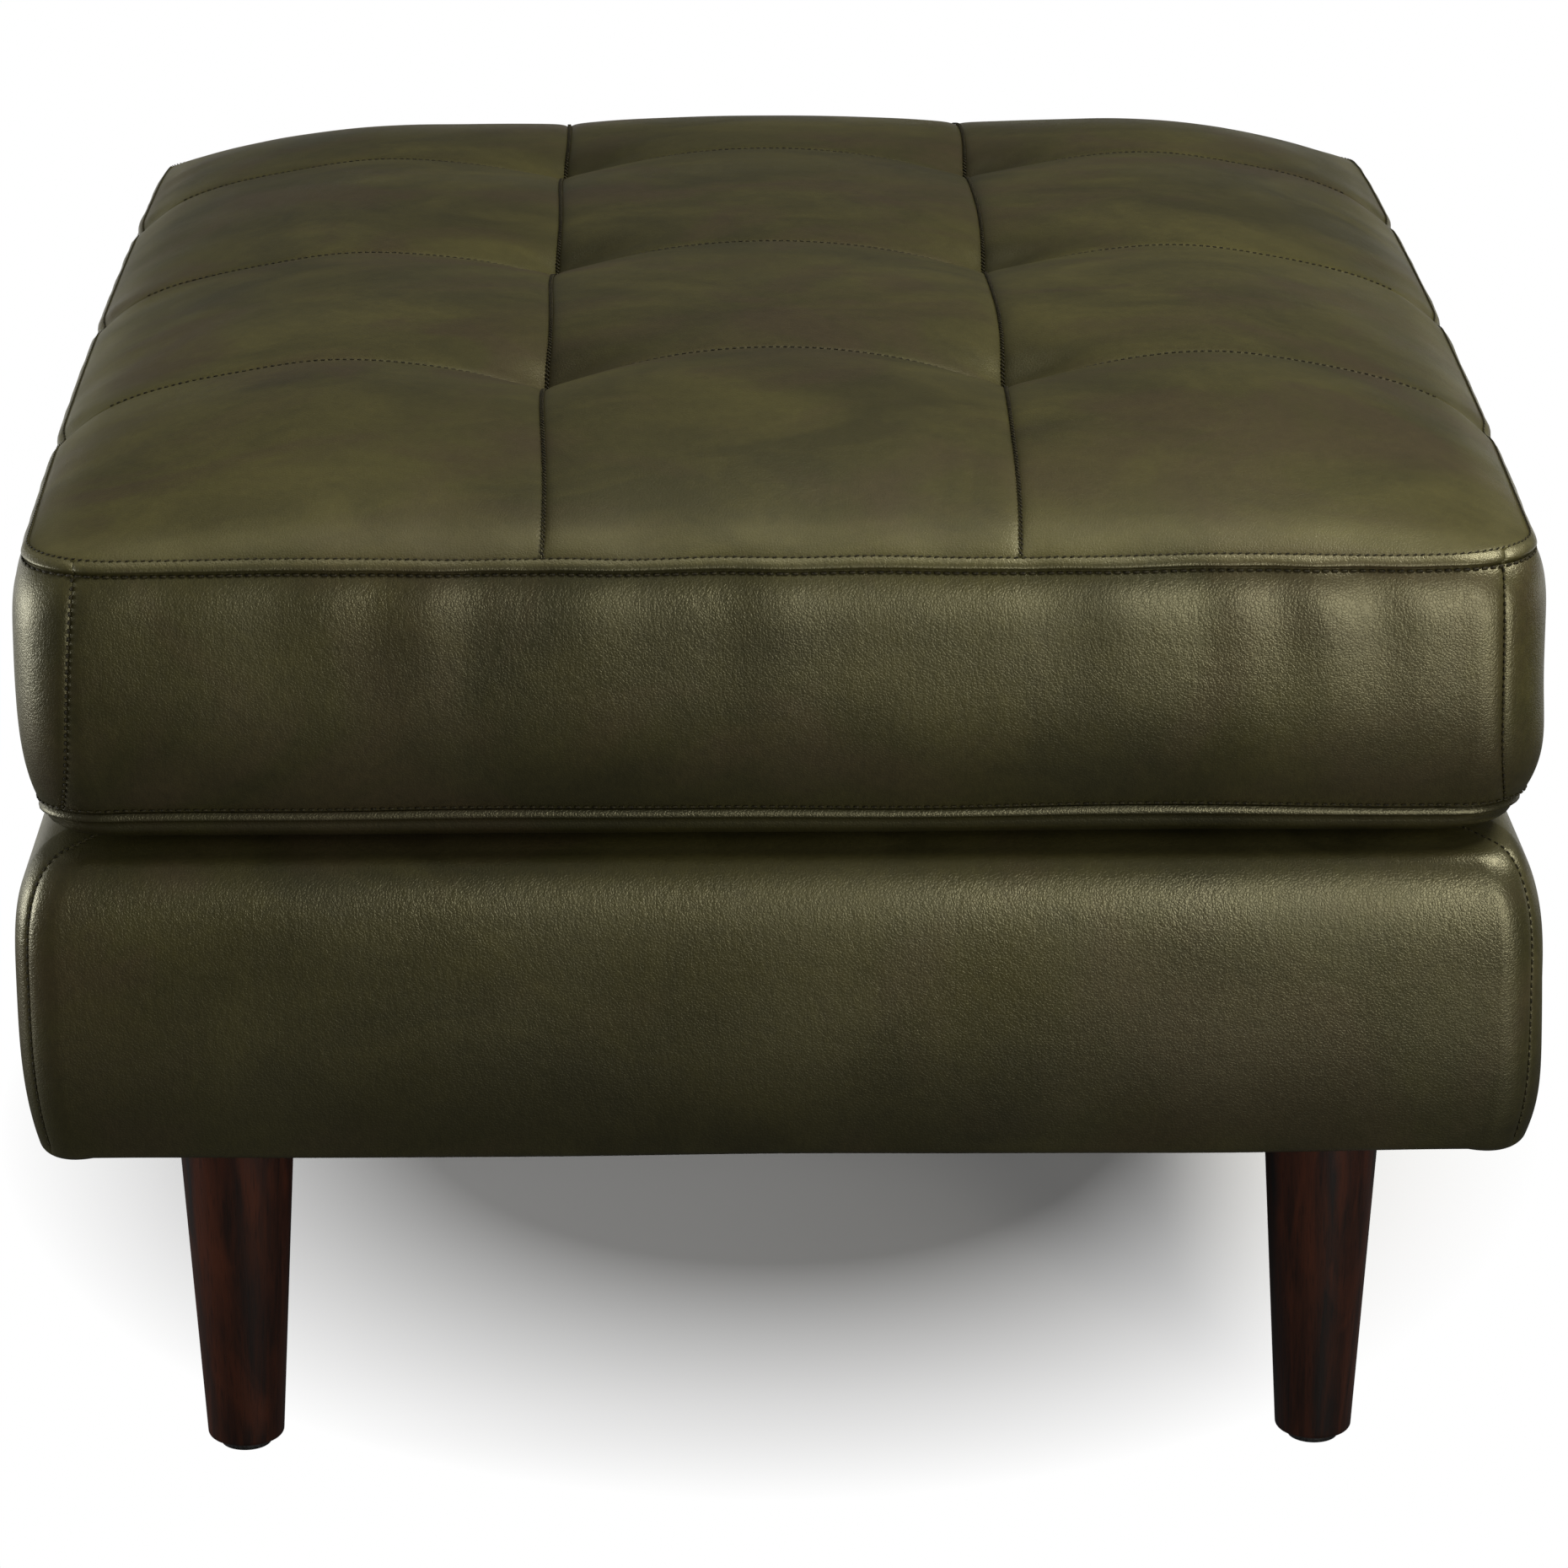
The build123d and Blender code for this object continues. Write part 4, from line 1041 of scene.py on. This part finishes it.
# %% [markdown]
# ## Where the stitches run
# The band is held by a row above it and a row below, and every seam between panels has its own
# row. The rows use the functions that shaped the panels, so they lie on the leather in each fold.
# %% Rows of stitches
closed = np.linspace(0, round_cushion, 1400)
band_bottom = border_height - band_height
border_lines = [
    level_stitches(closed, border_height, 0.8, pitch=3.2, length=2.0, thread=0.3, lift=0.25, slant=0.35),
    level_stitches(closed, band_bottom - 0.9, 0.3, pitch=3.8, length=2.8, thread=0.55, lift=0.45),
    level_stitches(closed, 1.6, 0.0, pitch=3.6, length=2.4, thread=0.48, lift=0.35),
]
seam_heights = np.linspace(1.5, band_bottom - 1, 60)
for side in (1, -1):
    from_middle = side * corner_seam_along(seam_heights, side)
    for along in (from_middle, half_round - from_middle):
        normals = cushion_outline.outward(along)
        border_lines.append(stitch_line(border_surface(along, seam_heights) - seam_depth * normals, normals,
                                        pitch=3.4, length=2.0, thread=0.5, lift=0.7))
slot_along = half_round + np.linspace(-slot_half[0] - 4, slot_half[0] + 4, 700)
for from_slot in (-slot_half[1] - 3, slot_half[1] + 3):
    border_lines.append(level_stitches(slot_along, slot_height + from_slot, 0.0, pitch=3.4, length=2.5,
                                       thread=0.34, lift=0.15))
make_stitches("border_stitches", border_lines, "cushion")


def quilt_stitches(x, y, **thread):
    """Stitches along a line of places on the top, where one of the two may be a single value."""
    points = top_surface(*np.broadcast_arrays(x, y))
    return stitch_line(points, np.tile([0.0, 0.0, 1.0], (len(points), 1)), **thread)


quilt_lines = [quilt_stitches(x, np.linspace(-376, 376, 900), pitch=2.5, length=2.6, thread=0.48, lift=1.1,
                              slant=0.6) for x in (-column_seam, column_seam)]
quilt_lines += [quilt_stitches(np.linspace(-283, 283, 800), y, pitch=3.1, length=1.9, thread=0.36, lift=0.7,
                               slant=0.3) for y in (-row_seam, 0.0, row_seam)]
make_stitches("quilting_stitches", quilt_lines, "cushion")

share = np.linspace(0.17, 0.92, 160)
over_edge = 1.5 * smooth_step((share - 0.75) / 0.18)
box_lines = []
for seam in box_corners:
    along = np.full_like(share, seam)
    points = base_surface(along, share) - 1.1 * base_outline.outward(along)
    box_lines.append(stitch_line(points, base_outline.outward(along, over_edge), pitch=3.4, length=2.2,
                                 thread=0.34, lift=0.35))
make_stitches("box_stitches", box_lines, "base")

# %% [markdown]
# ## Cloth under the cushion and under the box
# The deck cloth and the dust cover are thin woven sheets, stretched and stapled. A weave is two sets
# of threads, and a pattern of crossing waves at thread pitch gives both its colour and its relief.
# %% Cloths
weave, given, result = new_group(
    "plain_weave", {"Vector": ("vector", (0, 0, 0)), "Threads": ("value", 1200.0)},
    {"Height": "value", "Shade": "value"},
)
separate = node(weave, "SeparateXYZ", {0: given.outputs["Vector"]})


def crossing(axis):
    """One set of threads: a sine of the place along an axis."""
    return maths(weave, "SINE", maths(weave, "MULTIPLY", separate.outputs[axis], given.outputs["Threads"]))


slub = noise(weave, given.outputs["Vector"], (40, 400, 1), detail=2.0)
connect(weave, result, {
    "Height": remap(weave, maths(weave, "MULTIPLY", crossing("X"), crossing("Y")), -1.0, 1.0),
    "Shade": remap(weave, slub, 0.3, 0.7, 0.8, 1.2),
})


def cloth_material(name, color, threads):
    """Woven cloth with uneven threads."""
    material, tree, shader = new_material(name)
    cloth = node(tree, "Group", {"Vector": object_place(tree), "Threads": threads}, node_tree=weave)
    height = cloth.outputs["Height"]
    shade = maths(tree, "MULTIPLY", cloth.outputs["Shade"], remap(tree, height, 0, 1, 0.75, 1.1))
    connect(tree, shader, {"Base Color": scaled(tree, color, shade), "Roughness": 0.9, "Sheen Weight": 0.25,
                           "Normal": relief(tree, height, 0.0002)})
    return material


deck_cloth = cloth_material("deck_platform_cloth", (0.030, 0.028, 0.020), 3600.0)
dust_cloth = cloth_material("dust_cover_cloth", (0.015, 0.015, 0.016), 2600.0)
backing_cloth = cloth_material("backing_cloth", (0.62, 0.60, 0.54), 3200.0)
webbing_weave = cloth_material("webbing_weave", (0.18, 0.14, 0.09), 1500.0)
tape_weave = cloth_material("zip_tape_weave", (0.035, 0.032, 0.020), 5200.0)


def stretched_sheet(name, node_name, bow, on_top):
    """A sheet over a node's box, bowed by a product of two sines that is nothing at its edges, and
    its flat size in metres."""
    low, high = (np.array(corner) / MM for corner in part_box(node_name))
    across, along = np.linspace(0, 1, 60), np.linspace(0, 1, 72)
    x, y = np.meshgrid(low[0] + across * (high[0] - low[0]), low[1] + along * (high[1] - low[1]))
    z = (high[2] if on_top else low[2]) + bow * np.outer(np.sin(np.pi * along), np.sin(np.pi * across))
    sheet = make_panel(name, np.stack([x, y, z], -1), flip=not on_top, uv=np.stack([x, y], -1))
    return sheet, ((high[0] - low[0]) * MM, (high[1] - low[1]) * MM)


sheet, flat = stretched_sheet("deck_platform_sheet", "deck_cloth", bow=-1.5, on_top=True)
dress(sheet, deck_cloth, "base", ["deck_cloth", "deck_foam"], wall=0.8)
print("deck cloth", flat)

sheet, flat = stretched_sheet("dust_cover_sheet", "dust_cover", bow=0.4, on_top=False)
dress(sheet, dust_cloth, "base", ["dust_cover"], wall=0.5)
print("dust cover", flat)

# %% [markdown]
# ## Legs and glides
# A leg is turned on a lathe, so its surface is a profile carried round an axis: straight from its
# shoulder down to the foot, with a small rounded lower edge. The figure of the walnut is made of
# long streaks down the leg, under a satin lacquer that is nearly black where the grain is dense.
# %% Legs
leg_length, glide_thickness = 157.6, 4.0
leg_top_radius, leg_foot_radius, foot_rounding = 25.5, 16.5, 2.2


def turned(name, centre, profile, segments):
    """A lathe surface: each (radius, height) of the profile becomes a ring round the axis."""
    turns = np.linspace(0, 2 * np.pi, segments, endpoint=False)
    radius, height = np.array(profile, float).T
    x, y = centre[0] + np.outer(radius, np.cos(turns)), centre[1] + np.outer(radius, np.sin(turns))
    rings = np.stack([x, y, np.repeat(height[:, None], segments, 1)], -1)
    uv = np.stack([np.broadcast_to(turns * 20, rings.shape[:2]), rings[..., 2]], -1)
    return make_piece(name, rings, grid_faces(len(profile), segments, close_columns=True), uv=uv)


walnut, tree, shader = new_material("espresso_walnut")
place = object_place(tree)
long_streaks = noise(tree, place, (160, 160, 9), detail=4.0, roughness=0.6, distortion=0.4)
pore_lines = noise(tree, place, (1400, 1400, 40), detail=2.0)
broad_figure = noise(tree, place, (45, 45, 14), detail=2.0, distortion=1.0)
wood_color = color_ramp(tree, long_streaks, 0.35, 0.68, (0.0075, 0.0030, 0.0018, 1), (0.052, 0.016, 0.008, 1))
wood_color = color_ramp(tree, broad_figure, 0.48, 0.70, wood_color, (0.085, 0.022, 0.009, 1), 0.0, 0.75)
wood_color = color_ramp(tree, pore_lines, 0.30, 0.45, wood_color, (0.003, 0.002, 0.0015, 1), 0.5, 0.0)
connect(tree, shader, {"Base Color": wood_color, "Roughness": remap(tree, long_streaks, 0.3, 0.7, 0.42, 0.30),
                       "Normal": relief(tree, pore_lines, 0.0002, 0.35)})
glide_plastic = speckled_material("black_glide_plastic", (900.0, 3.0), 0.4, 0.7,
                                  ((0.008, 0.008, 0.008, 1), (0.03, 0.03, 0.03, 1)), roughness=(0.38, 0.6))

leg_top = glide_thickness + leg_length
foot = [(leg_foot_radius - foot_rounding * (1 - math.cos(turn)),
         glide_thickness + foot_rounding * (1 + math.sin(turn)))
        for turn in np.radians(np.linspace(-90, 0, 8))]
taper = [(leg_foot_radius + share * (leg_top_radius - leg_foot_radius),
          glide_thickness + foot_rounding + share * (leg_length - foot_rounding))
         for share in np.linspace(0.02, 1, 24)]
leg_profile = [(0.01, glide_thickness), (10.0, glide_thickness), *foot, *taper,
               (leg_top_radius - 1, leg_top), (0.01, leg_top)]
glide_profile = [(0.01, 0.8), (3.0, 0.8), (3.2, 0.0), (10.2, 0.0), (10.8, 0.3), (11.0, 0.9), (11.0, 3.4),
                 (10.6, glide_thickness), (0.01, glide_thickness)]
for corner in ("front_left", "front_right", "back_left", "back_right"):
    low, high = (np.array(value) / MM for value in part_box(f"leg_{corner}"))
    centre = (low + high)[:2] / 2
    leg = turned(f"turned_leg_{corner}", centre, leg_profile, 96)
    dress(leg, walnut, "base", [f"leg_{corner}"])
    glide = turned(f"foot_glide_{corner}", centre, glide_profile, 64)
    dress(glide, glide_plastic, "base", [f"glide_{corner}"])
print("leg", leg_length, "mm long,", 2 * leg_top_radius, "to", 2 * leg_foot_radius, "mm across")

# %% [markdown]
# ## The frame, fasteners and zip
# The timber frame, webbing, screws and zip are already the right shape in the CAD model, so they
# keep their meshes and get finishes: pale sawn timber, zinc-plated steel and antique brass.
# %% Finishes for the carried-over nodes
timber, tree, shader = new_material("sawn_frame_timber")
place, pale, dark = object_place(tree), (0.58, 0.42, 0.25, 1), (0.40, 0.26, 0.13, 1)
bands = noise(tree, place, (14, 14, 120), detail=4.0, distortion=0.6)
fibre = noise(tree, place, (200, 200, 900), detail=2.0)
timber_color = color_ramp(tree, bands, 0.35, 0.65, pale, dark)
timber_color = color_ramp(tree, fibre, 0.4, 0.7, timber_color, dark, 0.0, 0.35)
connect(tree, shader, {"Base Color": timber_color, "Roughness": 0.7,
                       "Normal": relief(tree, fibre, 0.0003, 0.6)})


def metal_material(name, color, roughness):
    """Plated metal with fine brushing and a few dull spots."""
    material, tree, shader = new_material(name)
    place = object_place(tree)
    brushing = noise(tree, place, (300, 3000, 3000), detail=2.0)
    dull = tuple(0.55 * part for part in color[:3]) + (1,)
    connect(tree, shader, {
        "Base Color": color_ramp(tree, noise(tree, place, 260.0, detail=3.0), 0.5, 0.75, color, dull),
        "Roughness": remap(tree, brushing, 0.3, 0.7, roughness - 0.07, roughness + 0.1),
        "Metallic": 1.0, "Normal": relief(tree, brushing, 0.00005, 0.4),
    })
    return material


steel = metal_material("zinc_plated_steel", (0.55, 0.55, 0.53, 1), 0.36)
brass = metal_material("antique_brass", (0.28, 0.19, 0.09, 1), 0.34)
zip_nylon = speckled_material("nylon_zip_teeth", (1200.0, 2.0), 0.3, 0.7,
                              ((0.022, 0.020, 0.012, 1), (0.05, 0.045, 0.028, 1)), roughness=0.4)
foam = speckled_material("cut_foam", (700.0, 4.0), 0.3, 0.7,
                         ((0.60, 0.54, 0.34, 1), (0.80, 0.75, 0.52, 1)), roughness=0.95, depth=0.001)

slot_finishes = {
    "frame_timber": timber, "fastener_steel": steel, "webbing": webbing_weave, "zip_tape": tape_weave,
    "zip_teeth": zip_nylon, "zip_metal": brass, "foam": foam, "fibre": foam,
    "backing_cloth": backing_cloth, "quilted_leather": quilt_leather, "border_leather": border_leather,
    "base_leather": base_leather, "deck_cloth": deck_cloth, "dust_cloth": dust_cloth,
    "leg_wood": walnut, "glide_plastic": glide_plastic,
}
slots_of_nodes = {part["node"]: part["material_slot"] for part in frame["record"]["subparts"]}
for name, cad_node in frame["nodes"].items():
    if not cad_node.material_slots:
        cad_node.data.materials.append(None)
    for material_slot in cad_node.material_slots:
        material_slot.material = slot_finishes[slots_of_nodes[name]]
print("finishes on", len(frame["nodes"]), "CAD nodes")

# %% [markdown]
# ## Floor
# The photo is a studio cut-out: a white floor that only keeps the soft shadow. The floor is a large
# square, lit like the object near it and turning into plain white for the camera further out.
# Light that bounces off it is dimmer than what the camera sees, or the satin hide would go grey.
# %% Floor
floor_reach = 30 / MM
floor_points = floor_reach * np.array([[-1, -1, 0], [1, -1, 0], [1, 1, 0], [-1, 1, 0]])
floor = make_piece("floor", floor_points, [[0, 1, 2, 3]], smooth=False)
studio_white, tree, shader = new_material("white_studio_floor")
floor.data.materials.append(studio_white)
shown_albedo, bounced_albedo, mirrored_albedo = ((value,) * 3 + (1,) for value in (0.49, 0.10, 0.04))
seen = tree.nodes.new("ShaderNodeLightPath").outputs
directly = maths(tree, "MAXIMUM", seen["Is Camera Ray"], seen["Is Transmission Ray"])
for_bounces = mix_colors(tree, seen["Is Glossy Ray"], bounced_albedo, mirrored_albedo)
connect(tree, shader, {"Base Color": mix_colors(tree, directly, for_bounces, shown_albedo),
                       "Roughness": 1.0, "Specular IOR Level": 0.0})
twice = node(tree, "AddShader", {0: shader.outputs[0], 1: shader.outputs[0]})
paper = node(tree, "MixShader", {0: directly, 1: shader.outputs[0], 2: twice.outputs[0]})
white = node(tree, "Emission", {"Color": (1, 1, 1, 1), "Strength": 1.0})

shadow_centre, shadow_stretch = (0, 0.12, 0), (2.4, 1.9, 0.0)
white_starts, all_white = 0.44, 0.92
place = object_place(tree)
depth = node(tree, "SeparateXYZ", {0: place}).outputs["Y"]
mirrored = maths(tree, "MULTIPLY", seen["Is Glossy Ray"], remap(tree, depth, 0.3, 1.0, 0.04, 0.9))
from_shadow = node(tree, "VectorMath", {0: place, 1: shadow_centre}, operation="SUBTRACT").outputs[0]
distance = node(tree, "VectorMath", {0: scaled(tree, from_shadow, shadow_stretch)},
                operation="LENGTH").outputs["Value"]
whiteness = maths(tree, "MULTIPLY", remap(tree, distance, white_starts, all_white),
                  maths(tree, "MAXIMUM", directly, mirrored))
floor_mix = node(tree, "MixShader", {0: whiteness, 1: paper.outputs[0], 2: white.outputs[0]})
connect(tree, next(n for n in tree.nodes if n.type == "OUTPUT_MATERIAL"), {"Surface": floor_mix.outputs[0]})
print("floor material", len(tree.nodes), "nodes")

# %% [markdown]
# ## Backdrop and lamps
# A studio lights leather with a few large soft boxes, since a small lamp gives hard specks. Square
# lamps above and to the right give the satin its broad highlights, and weak ones lift the left and
# the back. The backdrop is white for the camera and dim as a source of light.
# %% Backdrop and lamps
world = bpy.data.worlds.new("studio")
bpy.context.scene.world = world
world.use_nodes = True
tree = world.node_tree
tree.nodes.clear()
seen = tree.nodes.new("ShaderNodeLightPath").outputs
shown = maths(tree, "MAXIMUM", seen["Is Camera Ray"], seen["Is Transmission Ray"])
shown = maths(tree, "MAXIMUM", shown, maths(tree, "MULTIPLY", seen["Is Glossy Ray"], 0.08))
ambient, backdrop = (node(tree, "Background", {"Color": (1, 1, 1, 1), "Strength": strength})
                     for strength in (0.035, 1.0))
mixed = node(tree, "MixShader", {0: shown, 1: ambient.outputs[0], 2: backdrop.outputs[0]})
node(tree, "OutputWorld", {"Surface": mixed.outputs[0]})


def soft_lamp(name, place, target, size, watts, color=(1, 1, 1)):
    """A square area lamp that faces a target."""
    data = bpy.data.lights.new(name, "AREA")
    data.energy, data.size, data.color = watts, size, color
    lamp = bpy.data.objects.new(name, data)
    aim = (Vector(target) - Vector(place)).to_track_quat("-Z", "Y")
    lamp.matrix_world = Matrix.Translation(place) @ aim.to_matrix().to_4x4()
    bpy.context.scene.collection.objects.link(lamp)


warm = (1.0, 0.97, 0.90)
soft_lamp("overhead", (0.1, 0.1, 3.3), (0, 0, 0.2), 2.0, 18, warm)
soft_lamp("key_right", (1.6, -0.4, 2.6), (0, 0, 0.40), 0.9, 52, warm)
soft_lamp("gloss_right", (0.84, -2.45, 0.72), (0.1, -0.3, 0.36), 0.7, 15.5, warm)
soft_lamp("low_right", (0.95, -1.80, 0.26), (0.25, -0.38, 0.36), 0.4, 5.4, warm)
soft_lamp("low_left", (-1.6, -0.1, 0.36), (-0.31, -0.2, 0.36), 0.5, 11)
soft_lamp("back", (-2.6, 1.6, 0.9), (-0.1, 0.2, 0.35), 1.0, 8)
bpy.context.scene.view_settings.view_transform = "Standard"
